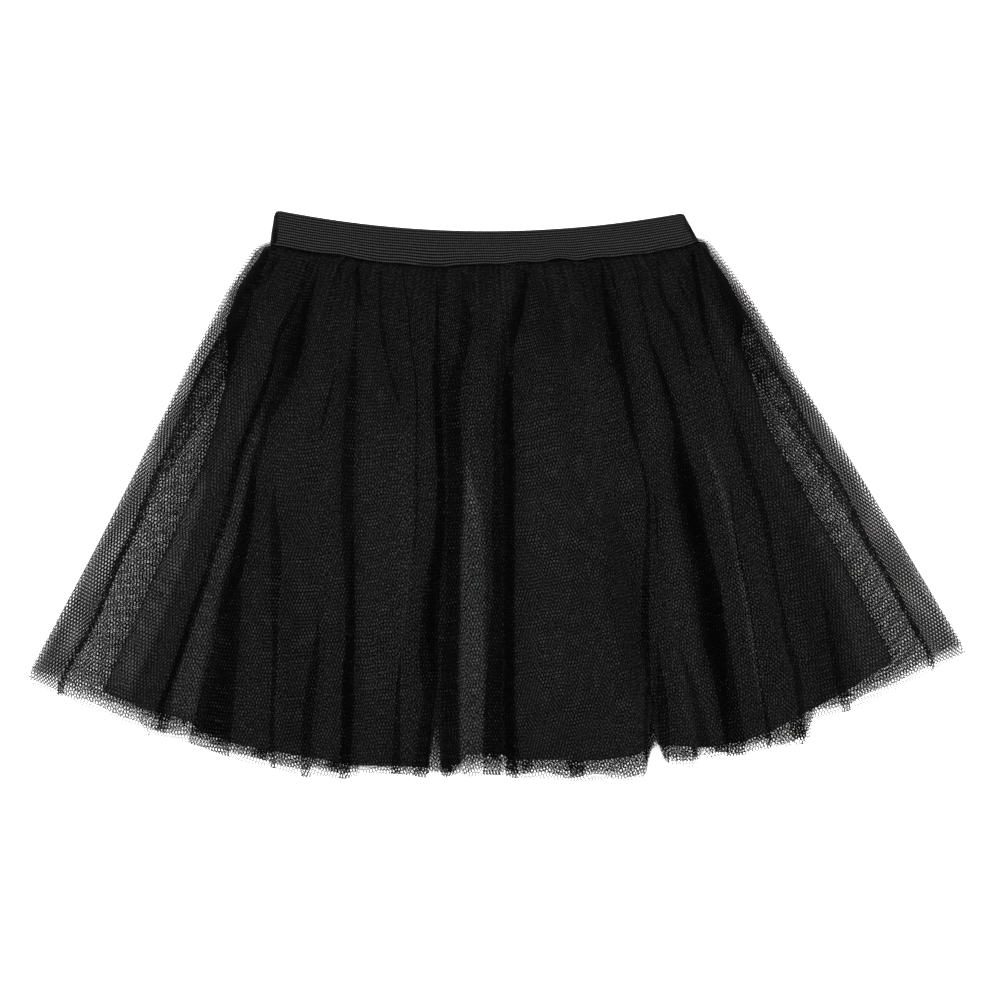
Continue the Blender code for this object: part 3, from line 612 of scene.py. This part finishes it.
# ---------------------------------------------------------------- folded sections
def fold_outline(lap):
    """One fold across its edge: steps from the edge (away is positive) and level."""
    spread = FOLD_OPEN * (1 - ease((lap - OPEN_LAP) / (SHUT_LAP - OPEN_LAP)))
    return (
        (-max(lap, 0.0) - FOLD_MARGIN - spread, 1.0),
        (-spread, 1.0),
        (0.0, 0.5 + FOLD_TILT),
        (-lap, 0.5 - FOLD_TILT),
        (-lap + spread, 0.0),
        (max(-lap, 0.0) + spread + FOLD_MARGIN, 0.0),
    )


def fold_row(fold, share, fold_height, wobble):
    """A fold's edge, its points across and its height at one section."""
    faces, knots = fold
    sewn = 1 - swelling(share)
    closed = ease((share - SWELL_SHARE) / (LAP_SHARE - SWELL_SHARE))
    lap = blend(OPEN_LAP * sewn, through(knots, share, 2), closed)
    left, right = side_edges(share)
    edge = blend(left, right, fan_share(through(knots, share, 1), max(share, 0.0)))
    edge += EDGE_WOBBLE * wobble(share) * closed
    kept = ease((lap - FADED_LAP) / (OPEN_LAP - FADED_LAP))
    height = fold_height * blend(blend(FOLD_FLAT, 1.0, kept), SEAM_FOLD, sewn)
    points = [(faces * step, level) for step, level in fold_outline(lap)]
    return {"edge": edge, "points": points[::faces], "height": height}


def fit_folds(rows, left, right):
    """Draw in what reaches over a fold's neighbours, so that no two folds meet."""
    ends = [{"edge": left, "points": [(0, 0), (1, 0)]}, *rows,
            {"edge": right, "points": [(-1, 0), (0, 0)]}]
    for near, far in zip(ends, ends[1:]):
        room = FOLD_ROOM * (far["edge"] - near["edge"])
        wanted = max(step for step, _ in near["points"]) - min(step for step, _ in far["points"])
        near["shrink_right"] = far["shrink_left"] = min(max(room / wanted, 0.02), 1.0)
    for row in rows:
        row["points"] = [
            (row["edge"] + step * row["shrink_right" if step > 0 else "shrink_left"],
             level * row["height"])
            for step, level in row["points"]]


def rounded(points):
    """One round of corner cutting that keeps the two ends."""
    cut = [points[0]]
    for (xa, za), (xb, zb) in zip(points, points[1:]):
        cut += [(blend(xa, xb, share), blend(za, zb, share)) for share in (0.25, 0.75)]
    return cut + [points[-1]]


PLEAT_POINTS = len(rounded(fold_outline(1.0)))


def panel_counts(side):
    """How many stretches the cloth beside and between the folds needs at its widest."""
    folds = side["folds"]
    counts = []
    for k in range(len(folds) + 1):
        widest = 0.0
        for share in (0.25, 0.5, 0.75, 1.0):
            left, right = side_edges(share)
            start = through(folds[k - 1][1], share, 1) if k else left
            end = through(folds[k][1], share, 1) if k < len(folds) else right
            widest = max(widest, end - start)
        counts.append(max(3, math.ceil(widest / PANEL_STEP)))
    return counts


def net_side(side, share):
    """Points (x, z) of one side of a net tube, from left to right."""
    layer, folds, counts = side["layer"], side["folds"], side["counts"]
    left, right = side_edges(share)
    inset = blend(side["tucked"], side["inset"], swelling(share))
    rows = [fold_row(fold, share, side["fold_height"], wobble)
            for fold, wobble in zip(folds, side["wobbles"])]
    ends = (left + inset + SIDE_KEPT, right - inset - SIDE_KEPT)
    fit_folds(rows, *ends)
    pleats = [rounded(row["points"]) for row in rows]
    starts = [(ends[0], 0.0)] + [pleat[-1] for pleat in pleats]
    stops = [pleat[0] for pleat in pleats] + [(ends[1], 0.0)]
    points = []
    for k, (start, stop) in enumerate(zip(starts, stops)):
        arch = min(CROWN * (stop[0] - start[0]), side["crown"]) * swelling(share)
        first, last = (0 if k == 0 else 1), (counts[k] + 1 if k == len(pleats) else counts[k])
        for step in range(first, last):
            t = step / counts[k]
            x = blend(start[0], stop[0], t)
            if side["lies_down"]:
                level = (start[1] * (1 - ease((x - start[0]) / BACK_RISE))
                         + stop[1] * (1 - ease((stop[0] - x) / BACK_RISE)))
            else:
                level = blend(start[1], stop[1], ease(t)) + arch * 4 * t * (1 - t)
            points.append((x, level))
        if k < len(pleats):
            points += pleats[k]
    placed = []
    for x, level in points:
        from_side = max(min(x - left, right - x) - side["late"], 0.0)
        across = fan_share(x, share)
        z = stack_height(layer, from_side, share) + level - side["drop"] * swelling(share)
        away = ease(from_side / SIDE_EVEN)
        z += gathered(side["gathers"], across, share) * away
        uneven = side["uneven"] * (1 + side["swells"](hem_x(across), share * SKIRT_LENGTH))
        z += uneven * swelling(share) * away
        placed.append((x, z))
    return placed


def pleat_middles(side):
    """Columns of one side, counted from its left, in the middle under each of its folds."""
    middles, column = [], 0
    for k in range(len(side["folds"])):
        column += side["counts"][k] - (0 if k == 0 else 1)
        middles.append(column + PLEAT_POINTS // 2)
        column += PLEAT_POINTS
    return middles


def end_turn(x_edge, inward, low, high):
    """The rounded side of a flattened tube, from its lower wall to its upper one."""
    radius, middle = (high - low) / 2, (high + low) / 2
    angles = [-math.pi / 2 + math.pi * k / END_STEPS for k in range(END_STEPS + 1)]
    return [(x_edge + inward * radius * (1 - math.cos(angle)), middle + radius * math.sin(angle))
            for angle in angles]


def net_shares():
    """Sections of the nets: close together where the gathers leave the band."""
    rest = round((1 - SEAM_ROWS[-1]) / ROW_STEP)
    return SEAM_ROWS + tuple(blend(SEAM_ROWS[-1], 1.0, (k + 1) / rest) for k in range(rest))


# ---------------------------------------------------------------- meshes
def piece(name, vertices, faces, material, uvs, stands_for):
    """A mesh that rides on the skirt's body, shaded smooth, in mm."""
    mesh = bpy.data.meshes.new(name)
    mesh.from_pydata((np.asarray(vertices, dtype=float) * MM).tolist(), [], faces)
    layer = mesh.uv_layers.new(name="cloth_metres")
    layer.data.foreach_set("uv", (np.asarray(uvs, dtype=float) * MM).ravel())
    mesh.materials.append(material)
    mesh.shade_smooth()
    made = bpy.data.objects.new(name, mesh)
    bpy.context.scene.collection.objects.link(made)
    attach(made, "root")
    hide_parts(stands_for)
    return made


def ring_faces(rows, count):
    """Faces between closed rings, row by row, the last row's back to the first ring."""
    index = np.arange(rows * count).reshape(rows, count)
    below, beside = np.roll(index, -1, axis=0), np.roll(index, -1, axis=1)
    corners = [index, below, np.roll(below, -1, axis=1), beside]
    return np.stack(corners, axis=-1).reshape(-1, 4).tolist()


def net_tube(name, node, front, back, material):
    """A flattened tube of net with its folds, and the net's own threads as its UVs."""
    rings = []
    for share in net_shares():
        left, right = side_edges(share)
        inset = blend(front["tucked"], front["inset"], swelling(share))
        low = stack_height(back["layer"], 0.0, share)
        high = stack_height(front["layer"], 0.0, share)
        turn_left = end_turn(left + inset, 1, low, high)
        turn_right = end_turn(right - inset, -1, low, high)[::-1]
        sides = [net_side(front, share), net_side(back, share)[::-1]]
        ring = []
        for points, lengths in ((turn_left, "turn"), (sides[0], front["layer"]),
                                (turn_right, "turn"), (sides[1], back["layer"])):
            for k, (x, z) in enumerate(points):
                if lengths == "turn":
                    up = k / END_STEPS if points is turn_left else 1 - k / END_STEPS
                    ys = [cloth_y(side["layer"], x, share) for side in (back, front)]
                    y = blend(*ys, up)
                else:
                    y = cloth_y(lengths, x, share)
                ring.append((x, y, z))
        rings.append(ring)
    points = np.array(rings)
    rows, count = points.shape[:2]
    uvs = net_threads(points, strips_of(front, back, count), front["seed"],
                      SIDE_APART[front["layer"]])
    faces = ring_faces(rows, count)[:(rows - 1) * count]
    return piece(name, points.reshape(-1, 3), faces, material, uvs, node)


def strips_of(front, back, count):
    """The ring's strips of cloth from under one fold to under the next.

    Each has its ends and its middle, and the lean of its threads; the two that turn round
    the tube's sides have their middle on the side and no lean.
    """
    first_front = END_STEPS + 1
    first_back = count - sum(back["counts"]) - len(back["folds"]) * (PLEAT_POINTS - 1) - 1
    cuts = [first_front + column for column in pleat_middles(front)]
    last_front = cuts[-1]
    cuts += [count - 1 - column for column in pleat_middles(back)[::-1]]
    strips = []
    for start, stop in zip([cuts[-1] - count] + cuts[:-1], cuts):
        if start < 0:
            strips.append((start, stop, END_STEPS // 2, None))
        elif start == last_front:
            strips.append((start, stop, first_back - 1 - END_STEPS // 2, None))
        else:
            grain = front["grain"] if start < first_back else back["grain"]
            strips.append((start, stop, (start + stop) // 2, grain))
    return strips


def net_threads(points, strips, seed, apart):
    """Each corner's place in the net, in mm: across from its strip's middle, and down."""
    rng = random.Random(seed)
    rows, count = points.shape[:2]
    steps = np.linalg.norm(np.roll(points, -1, axis=1) - points, axis=2)
    around = np.concatenate([np.zeros((rows, 1)), np.cumsum(steps, axis=1)], axis=1)
    total = around[:, -1]
    down = np.concatenate([np.zeros((1, count)),
                           np.cumsum(np.linalg.norm(np.diff(points, axis=0), axis=2), axis=0)])
    shares = np.array(net_shares())
    packed = (1 + GATHER_PACK * np.exp(-np.maximum(shares, 0) / GATHER_REACH))[:, None]
    across = np.zeros((rows, count, 2))
    along = np.zeros((rows, count, 2))
    for start, stop, middle, grain in strips:
        columns = np.arange(start, stop + 1)
        wrapped = columns % count
        place = around[:, wrapped] + np.where(columns < 0, -1, 0) * total[:, None]
        u = (place - around[:, [middle]]) * packed
        v = down[:, wrapped]
        shift, turn = rng.uniform(0, NET_SHIFT), rng.uniform(-GRAIN_TURN, GRAIN_TURN)
        if grain is None:
            u = SIDE_LOOSE * u + SIDE_PACK * np.tanh(u / SIDE_PACK)
            shift, turn, wave = apart, 0.0, SIDE_WAVE
        else:
            turn, wave = math.radians(grain + turn), GRAIN_WAVE
        turned_u = u * math.cos(turn) - v * math.sin(turn) + shift
        turned_v = u * math.sin(turn) + v * math.cos(turn) + rng.uniform(0, NET_SHIFT)
        turned_u = turned_u + wave * np.sin(v / GRAIN_WAVES[0] + u / GRAIN_WAVES[1] + shift)
        turned_v = turned_v + wave * np.sin(v / GRAIN_WAVES[2] - u / GRAIN_WAVES[3] + shift)
        across[:, wrapped[:-1], 0], along[:, wrapped[:-1], 0] = turned_u[:, :-1], turned_v[:, :-1]
        across[:, wrapped[:-1], 1], along[:, wrapped[:-1], 1] = turned_u[:, 1:], turned_v[:, 1:]
    upper, lower = slice(None, -1), slice(1, None)
    corners = [np.stack([across[part, :, end], along[part, :, end]], -1)
               for part, end in ((upper, 0), (lower, 0), (lower, 1), (upper, 1))]
    return np.stack(corners, axis=2).reshape(-1, 2)


# ---------------------------------------------------------------- materials
class Nodes:
    """Short calls for building a material's node tree."""

    def __init__(self, name, roughness, specular):
        self.material = bpy.data.materials.new(name)
        self.material.use_nodes = True
        self.tree = self.material.node_tree
        self.shader = self.tree.nodes["Principled BSDF"]
        self.shader.inputs["Roughness"].default_value = roughness
        self.shader.inputs["Specular IOR Level"].default_value = specular

    def add(self, kind, **values):
        made = self.tree.nodes.new(kind)
        for key, value in values.items():
            setattr(made, key, value)
        return made

    def plug(self, source, socket):
        if isinstance(source, (int, float)):
            socket.default_value = source
        else:
            self.tree.links.new(source, socket)

    def math(self, operation, first, second=0.0):
        made = self.add("ShaderNodeMath", operation=operation)
        for value, socket in zip((first, second), made.inputs):
            self.plug(value, socket)
        return made.outputs[0]

    def ramp(self, value, low, high):
        made = self.add("ShaderNodeMapRange")
        for number, key in ((value, "Value"), (low, "From Min"), (high, "From Max")):
            self.plug(number, made.inputs[key])
        return made.outputs[0]

    def uv(self):
        place = self.add("ShaderNodeUVMap", uv_map="cloth_metres")
        split = self.add("ShaderNodeSeparateXYZ")
        self.plug(place.outputs[0], split.inputs[0])
        return split.outputs[0], split.outputs[1], place.outputs[0]

    def colour(self, low, high, share, times=None):
        made = self.add("ShaderNodeMix", data_type="RGBA")
        made.inputs[6].default_value = (*low, 1.0)
        made.inputs[7].default_value = (*high, 1.0)
        self.plug(share, made.inputs[0])
        result = made.outputs[2]
        if times is not None:
            scaled = self.add("ShaderNodeVectorMath", operation="SCALE")
            self.plug(result, scaled.inputs[0])
            self.plug(times, scaled.inputs["Scale"])
            result = scaled.outputs[0]
        self.plug(result, self.shader.inputs["Base Color"])

    def noise(self, vector, scale, detail=2.0):
        made = self.add("ShaderNodeTexNoise")
        made.inputs["Scale"].default_value = scale
        made.inputs["Detail"].default_value = detail
        self.plug(vector, made.inputs["Vector"])
        return made.outputs[0]

    def bump(self, height, distance):
        made = self.add("ShaderNodeBump")
        made.inputs["Distance"].default_value = distance
        made.inputs["Strength"].default_value = 1.0
        self.plug(height, made.inputs["Height"])
        self.plug(made.outputs[0], self.shader.inputs["Normal"])


def net_material(name):
    """Black tulle: a net of six-sided holes in offset rows, cut out by the alpha."""
    m = Nodes(name, NET_ROUGHNESS, NET_SPECULAR)
    u, v, _ = m.uv()
    thicker = 0.5 * (NET_PILLAR - NET_YARN) / NET_PITCH
    far = []
    for shift in (0.0, 0.5):
        across = m.math("ADD", m.math("MULTIPLY", u, 1 / (NET_PITCH * MM)), shift)
        along = m.math("ADD", m.math("MULTIPLY", v, 0.5 / (NET_ROWS * MM)), shift)
        x = m.math("ABSOLUTE", m.math("SUBTRACT", m.math("FRACT", across), 0.5))
        y = m.math("MULTIPLY", m.math("ABSOLUTE", m.math("SUBTRACT", m.math("FRACT", along), 0.5)),
                   math.sqrt(3))
        slant = m.math("ADD", m.math("MULTIPLY", x, 0.5), m.math("MULTIPLY", y, math.sqrt(0.75)))
        far.append(m.math("MAXIMUM", m.math("ADD", x, thicker), slant))
    edge = m.math("MINIMUM", *far)
    yarn = 0.5 * (1 - NET_YARN / NET_PITCH)
    m.plug(m.ramp(edge, yarn - NET_SOFT, yarn + NET_SOFT), m.shader.inputs["Alpha"])
    # painted highlight: each yarn is painted lighter along its middle, as on a round thread
    m.colour(NET_DARK, NET_HIGHLIGHT, m.ramp(edge, yarn, 0.5))
    return m.material


def cloth_material(name, dark, light):
    """The under layer's plain cloth: a fine even weave with a soft, uneven surface."""
    m = Nodes(name, CLOTH_ROUGHNESS, CLOTH_SPECULAR)
    u, v, place = m.uv()
    pace = 2 * math.pi / (WEAVE_PITCH * MM)
    warp = m.math("SINE", m.math("MULTIPLY", u, pace))
    weft = m.math("SINE", m.math("MULTIPLY", v, pace))
    weave = m.math("MULTIPLY", warp, weft)
    fine = m.math("MULTIPLY", m.noise(place, *GRAINS[:2]), GRAINS[2])
    uneven = m.math("ADD", m.math("MULTIPLY", m.noise(place, *CLOUDS[:2]), CLOUDS[2]),
                    m.math("SUBTRACT", fine, GRAINS_MEAN))
    # painted light and shade, kept per corner in a mesh attribute, scales the cloth's colour
    tone = m.add("ShaderNodeAttribute", attribute_name="painted_light_and_shade")
    thread = m.math("ADD", m.math("MULTIPLY", weave, WEAVE_TONE), uneven)
    m.colour(dark, light, thread, tone.outputs["Fac"])
    m.bump(m.math("ADD", m.math("MULTIPLY", weave, WEAVE_RELIEF), uneven), CLOTH_RELIEF)
    return m.material


def elastic_material(name):
    """Ribbed elastic: grooves between the ribs painted darker as painted shade, and fine stitches
    across them.
    """
    m = Nodes(name, ELASTIC_ROUGHNESS, ELASTIC_SPECULAR)
    u, v, place = m.uv()
    stitch = m.math("SINE", m.math("MULTIPLY", u, 2 * math.pi / (STITCH_PITCH * MM)))
    phase = m.math("FRACT", m.math("MULTIPLY", v, 1 / (RIB_PITCH * MM)))
    # painted shade: the grooves between the ribs are painted darker
    groove = m.ramp(m.math("ABSOLUTE", m.math("SUBTRACT", phase, 0.5)), *GROOVE)
    fuzz = m.noise(place, ELASTIC_FUZZ)
    raised = m.math("ADD", fuzz, m.math("MULTIPLY", stitch, STITCH_TONE))
    tone = m.math("SUBTRACT", raised, m.math("MULTIPLY", groove, GROOVE_SHADE))
    m.colour(ELASTIC_DARK, ELASTIC_LIGHT, tone)
    m.bump(m.math("ADD", m.math("MULTIPLY", stitch, STITCH_RELIEF), fuzz), ELASTIC_RELIEF)
    return m.material


# ---------------------------------------------------------------- the pieces
def net_layer(layer, folds, fold_height):
    """What one side of a net tube is made from."""
    seed, *gathers = LAYER_GATHERS[layer]
    second = layer.startswith("second")
    back = layer.endswith("back")
    side = {"layer": layer, "folds": folds, "grain": GRAIN[layer], "seed": seed,
            "fold_height": fold_height,
            "tucked": SECOND_TUCKED if second else 0.0, "inset": SECOND_INSET if second else 0.0,
            "late": SECOND_LATE if second else 0.0, "drop": fold_height / 2 if second else 0.0,
            "crown": 0.0 if second or back else CROWN_MOST, "lies_down": back,
            "gathers": make_gathers(seed, *gathers), "swells": swells(seed, *LAYER_SWELLS),
            "uneven": REST_UNEVEN if second or back else FRONT_UNEVEN,
            "wobbles": [ripple(seed * 100 + k, *FOLD_WOBBLE) for k in range(len(folds))]}
    side["counts"] = panel_counts(side)
    return side


def second_back_folds(seed, count, widest):
    """Folds of the second tube's back: unevenly spaced pleats that fan out to the hem."""
    rng = random.Random(seed)
    folds = []
    for k in range(1, count - 1):
        across = (k + 0.5 + rng.uniform(-0.3, 0.3)) / count
        faces = rng.choice((-1, 1))
        drift = [rng.uniform(-0.1, 0.1) / count for _ in range(5)]
        edges = []
        for knot, lean in enumerate(drift):
            left, right = side_edges(knot / 4)
            edges.append(blend(left, right, across + lean * (knot > 0)))
        laps = [rng.uniform(1.0, 3.0)] + [rng.uniform(0.35, 1.0) * widest for _ in range(4)]
        folds.append((faces, even_knots(edges, laps)))
    return tuple(folds)


def make_nets():
    outer, second = net_material("outer_tulle"), net_material("second_tulle")
    front = [(faces, plan_knots(places)) for faces, places in FRONT_FOLDS]
    back = [(faces, even_knots(edges, laps)) for faces, edges, laps in BACK_FOLDS]
    for fold, place in ((front[0], 0), (front[-1], len(back) + 1)):
        knots = tuple((share, x, blend(*UNDER_FOLD_LAPS, ease(share / UNDER_FOLD_SHUT)))
                      for share, x, _ in fold[1])
        back.insert(place, (fold[0], knots))
    inside = [(faces, plan_knots(places)) for faces, places in SECOND_FRONT_FOLDS]
    tube = net_tube("outer_net", "outer_tulle",
                    net_layer("outer_front", front, FOLD_HEIGHT),
                    net_layer("outer_back", back, FOLD_HEIGHT), outer)
    inner = net_tube("second_net", "second_tulle",
                     net_layer("second_front", inside, SECOND_FOLD_HEIGHT),
                     net_layer("second_back", second_back_folds(*SECOND_BACK),
                               SECOND_FOLD_HEIGHT), second)


def strips_at(strips, share):
    """The strips of painted light and shade that cross a section: gain, middle and half width."""
    found = []
    for gain, knots in strips:
        outside = max(knots[0][0] - share, share - knots[-1][0], 0.0)
        strength = gain * (1 - ease(outside / LIGHT_AND_SHADE_STRIPS_FADE))
        found.append((strength, through(knots, share, 1), through(knots, share, 2)))
    return found


def painted_light_and_shade(x, share, strips, from_edge):
    """How light the under layer is at a place, next to its plain parts: painted shade near the
    band and along its sides, and painted streaks and strips of light and shade.
    """
    tone = blend(UNDER_TOP_SHADE, 1.0, ease(share / UNDER_TOP_REACH))
    fade = GATHER_SHADE_STRENGTH * math.exp(-max(share, 0.0) / GATHER_SHADE_REACH)
    tone *= 1 + fade * GATHER_LIGHT_AND_SHADE(fan_share(x, share))
    for strength, middle, half in strips:
        tone *= 1 + strength * ease((half + LIGHT_AND_SHADE_STRIPS_EDGE - abs(x - middle)) / (2 * LIGHT_AND_SHADE_STRIPS_EDGE))
    width, dark = along_table(UNDER_SIDE_SHADE, share, 1), along_table(UNDER_SIDE_SHADE, share, 2)
    return tone * (1 - dark * ease((width + UNDER_SIDE_SHADE_SOFT - from_edge) / (2 * UNDER_SIDE_SHADE_SOFT)))


def make_under_layer(side, material):
    """One panel of the under layer: wider towards its curved hem, and again near the band."""
    lean = swells("under_" + side, *UNDER_SWELLS)
    strips = [(gain, plan_knots(places)) for gain, places in LIGHT_AND_SHADE_STRIPS] if side == "front" else []
    shorter = UNDER_BACK_SHORTER if side == "back" else 0.0
    vertices, uvs, tones = [], [], []
    for row in range(UNDER_ROWS + 1):
        share = blend(UNDER_TOP_SHARE, 1.0, row / UNDER_ROWS)
        left, right = side_edges(share)
        edges = along_table(UNDER_SIDES, share, 1), along_table(UNDER_SIDES, share, 2)
        crossing = strips_at(strips, share)
        for column in range(UNDER_COLUMNS + 1):
            across = column / UNDER_COLUMNS
            low_y = along_table(UNDER_HEM_LINE, blend(*UNDER_ENDS, across), 1) + shorter
            x = blend(*edges, across)
            y = blend(seam_y(fan_share(x, share)), low_y, share)
            z = stack_height("under_" + side, min(x - left, right - x), share)
            vertices.append((x, y, z + UNDER_SWELL * lean(x, y * UNDER_SWELL_DRAWN)))
            uvs.append((x, y))
            # the painted light and shade at this corner
            tones.append(painted_light_and_shade(x, share, crossing, min(x - edges[0], edges[1] - x)))
    faces, corners = [], []
    for row in range(UNDER_ROWS):
        for column in range(UNDER_COLUMNS):
            a = row * (UNDER_COLUMNS + 1) + column
            face = (a, a + UNDER_COLUMNS + 1, a + UNDER_COLUMNS + 2, a + 1)
            faces.append(face)
            corners += [uvs[k] for k in face]
    made = piece("under_layer_" + side, vertices, faces, material, corners, "under_" + side)
    made.data.attributes.new("painted_light_and_shade", "FLOAT", "POINT").data.foreach_set("value", tones)


def band_free(share):
    return blend(BAND_MOUTH, BAND_RIM, ease((share - BAND_FULL) / (1 - BAND_FULL)))


def band_ring(share, swell):
    """A ring round the band at one height: the front, an end, the back, an end."""
    reach = (band_free(share) + BAND_WALL) / 2
    middle = BAND_WALL / 2 + reach
    corner = reach + BAND_WALL / 2
    reach += swell
    ring = []
    for side in (1, -1):
        ends = (0.0, 1.0)[::side]
        for step in range(1, BAND_STATIONS):
            ring.append((blend(*ends, step / BAND_STATIONS), 0.0, middle + side * reach))
        for step in range(BAND_END_STEPS + 1):
            angle = math.pi / 2 - math.pi * step / BAND_END_STEPS
            inward = corner - reach * math.cos(angle)
            ring.append((ends[1], -side * inward, middle + side * reach * math.sin(angle)))
    length = BAND_UPPER["right"][0] - BAND_UPPER["left"][0]
    points = []
    for k, (along, shift, z) in enumerate(ring):
        lower, upper = sagging(BAND_LOWER, along), sagging(BAND_UPPER, along)
        wave = BAND_WAVE * BAND_EDGE(k * BAND_EDGE_PACE) - through(BAND_HANG, along, 1)
        wave *= (1 - share) ** 2
        pucker = BAND_PUCKER * BAND_DIMPLE(k * BAND_DIMPLE_PACE) * (1 - share)
        inward = min(along, 1 - along) * length + abs(shift)
        left_over = max(1 - inward / BAND_CORNER[0], 0.0)
        drop = BAND_CORNER[1] * (1 - math.sqrt(max(1 - left_over ** 2, 0.0)))
        points.append((blend(lower[0], upper[0], share) + shift,
                       blend(lower[1], upper[1] - drop, share) + wave,
                       z + pucker * (1 if z > middle else 0)))
    return points


def make_waistband(material):
    """The elastic: one loop with rounded ribs outside, plain inside."""
    profile = []
    for k in range(BAND_HEIGHT_STEPS + 1):
        share = k / BAND_HEIGHT_STEPS
        from_top = (1 - share) * BAND_HEIGHT
        rib = abs(math.sin(math.pi * (from_top - BAND_PLAIN) / RIB_PITCH)) ** RIB_ROUND
        rib = rib if from_top > BAND_PLAIN else RIB_PLAIN
        edge = min(1.0, min(share, 1 - share) * BAND_HEIGHT / BAND_RUN_OUT)
        swell = BAND_WALL / 2 * blend(BAND_THINNED, 1.0, edge ** 0.5) - RIB_DEPTH * (1 - rib)
        profile.append((share, swell, from_top))
    outside = [(band_ring(share, swell), from_top) for share, swell, from_top in profile[::-1]]
    inside = [(band_ring(share, -BAND_WALL / 2 * BAND_INSIDE_DEPTH), (1 - share) * BAND_HEIGHT)
              for share in (k / BAND_INSIDE_STEPS for k in range(BAND_INSIDE_STEPS + 1))]
    rings = outside + inside
    points = np.array([ring for ring, _ in rings])
    rows, count = points.shape[:2]
    steps = np.linalg.norm(np.roll(points[0], -1, axis=0) - points[0], axis=1)
    around = np.concatenate([[0.0], np.cumsum(steps)])
    heights = np.array([from_top for _, from_top in rings])
    uvs = []
    for row in range(rows):
        onward = (row + 1) % rows
        for k in range(count):
            uvs += [(around[k], heights[row]), (around[k], heights[onward]),
                    (around[k + 1], heights[onward]), (around[k + 1], heights[row])]
    made = piece("elastic_band", points.reshape(-1, 3), ring_faces(rows, count), material, uvs,
                 "waistband")


# ---------------------------------------------------------------- floor, light and camera
def plain_material(name, colour, roughness):
    made = bpy.data.materials.new(name)
    made.use_nodes = True
    shader = made.node_tree.nodes["Principled BSDF"]
    shader.inputs["Base Color"].default_value = (*colour, 1.0)
    shader.inputs["Roughness"].default_value = roughness
    shader.inputs["Specular IOR Level"].default_value = 0.0
    return made


def make_floor():
    mesh = bpy.data.meshes.new("floor")
    half = FLOOR_SIZE / 2
    mesh.from_pydata([(-half, -half, 0), (half, -half, 0), (half, half, 0), (-half, half, 0)],
                     [], [(0, 1, 2, 3)])
    mesh.materials.append(plain_material("floor", FLOOR_TONE, FLOOR_ROUGHNESS))
    floor = bpy.data.objects.new("floor", mesh)
    floor.location.z = -FLOOR_DROP
    bpy.context.scene.collection.objects.link(floor)


def make_light(name, place, size, power):
    """A soft box that faces the skirt."""
    data = bpy.data.lights.new(name, "AREA")
    data.shape = "RECTANGLE"
    data.size, data.size_y = size
    data.energy = power
    lamp = bpy.data.objects.new(name, data)
    lamp.location = place
    direction = -lamp.location
    lamp.rotation_euler = direction.to_track_quat("-Z", "Y").to_euler()
    bpy.context.scene.collection.objects.link(lamp)


def make_world():
    world = bpy.data.worlds.new("studio")
    world.use_nodes = True
    background = world.node_tree.nodes["Background"]
    background.inputs["Color"].default_value = (1.0, 1.0, 1.0, 1.0)
    background.inputs["Strength"].default_value = WORLD_STRENGTH
    bpy.context.scene.world = world


def make_camera():
    """Straight above, framed as the picture is."""
    data = bpy.data.cameras.new("camera")
    data.sensor_width, data.lens = SENSOR, LENS
    camera = bpy.data.objects.new("camera", data)
    away = FRAME_WIDTH * LENS / SENSOR
    camera.location = (FRAME_CENTRE[0], FRAME_CENTRE[1], SUBJECT_HEIGHT + away)
    bpy.context.scene.collection.objects.link(camera)
    bpy.context.scene.camera = camera


def main():
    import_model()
    make_camera()
    make_nets()
    for side in ("front", "back"):
        make_under_layer(side, cloth_material("under_" + side, UNDER_DARK, UNDER_LIGHT))
    make_waistband(elastic_material("waistband"))
    make_floor()
    for lamp in LIGHTS:
        make_light(*lamp)
    make_world()
    scene = bpy.context.scene
    scene.view_settings.view_transform = "Standard"
    scene.cycles.transparent_max_bounces = THROUGH_CLOTH


main()
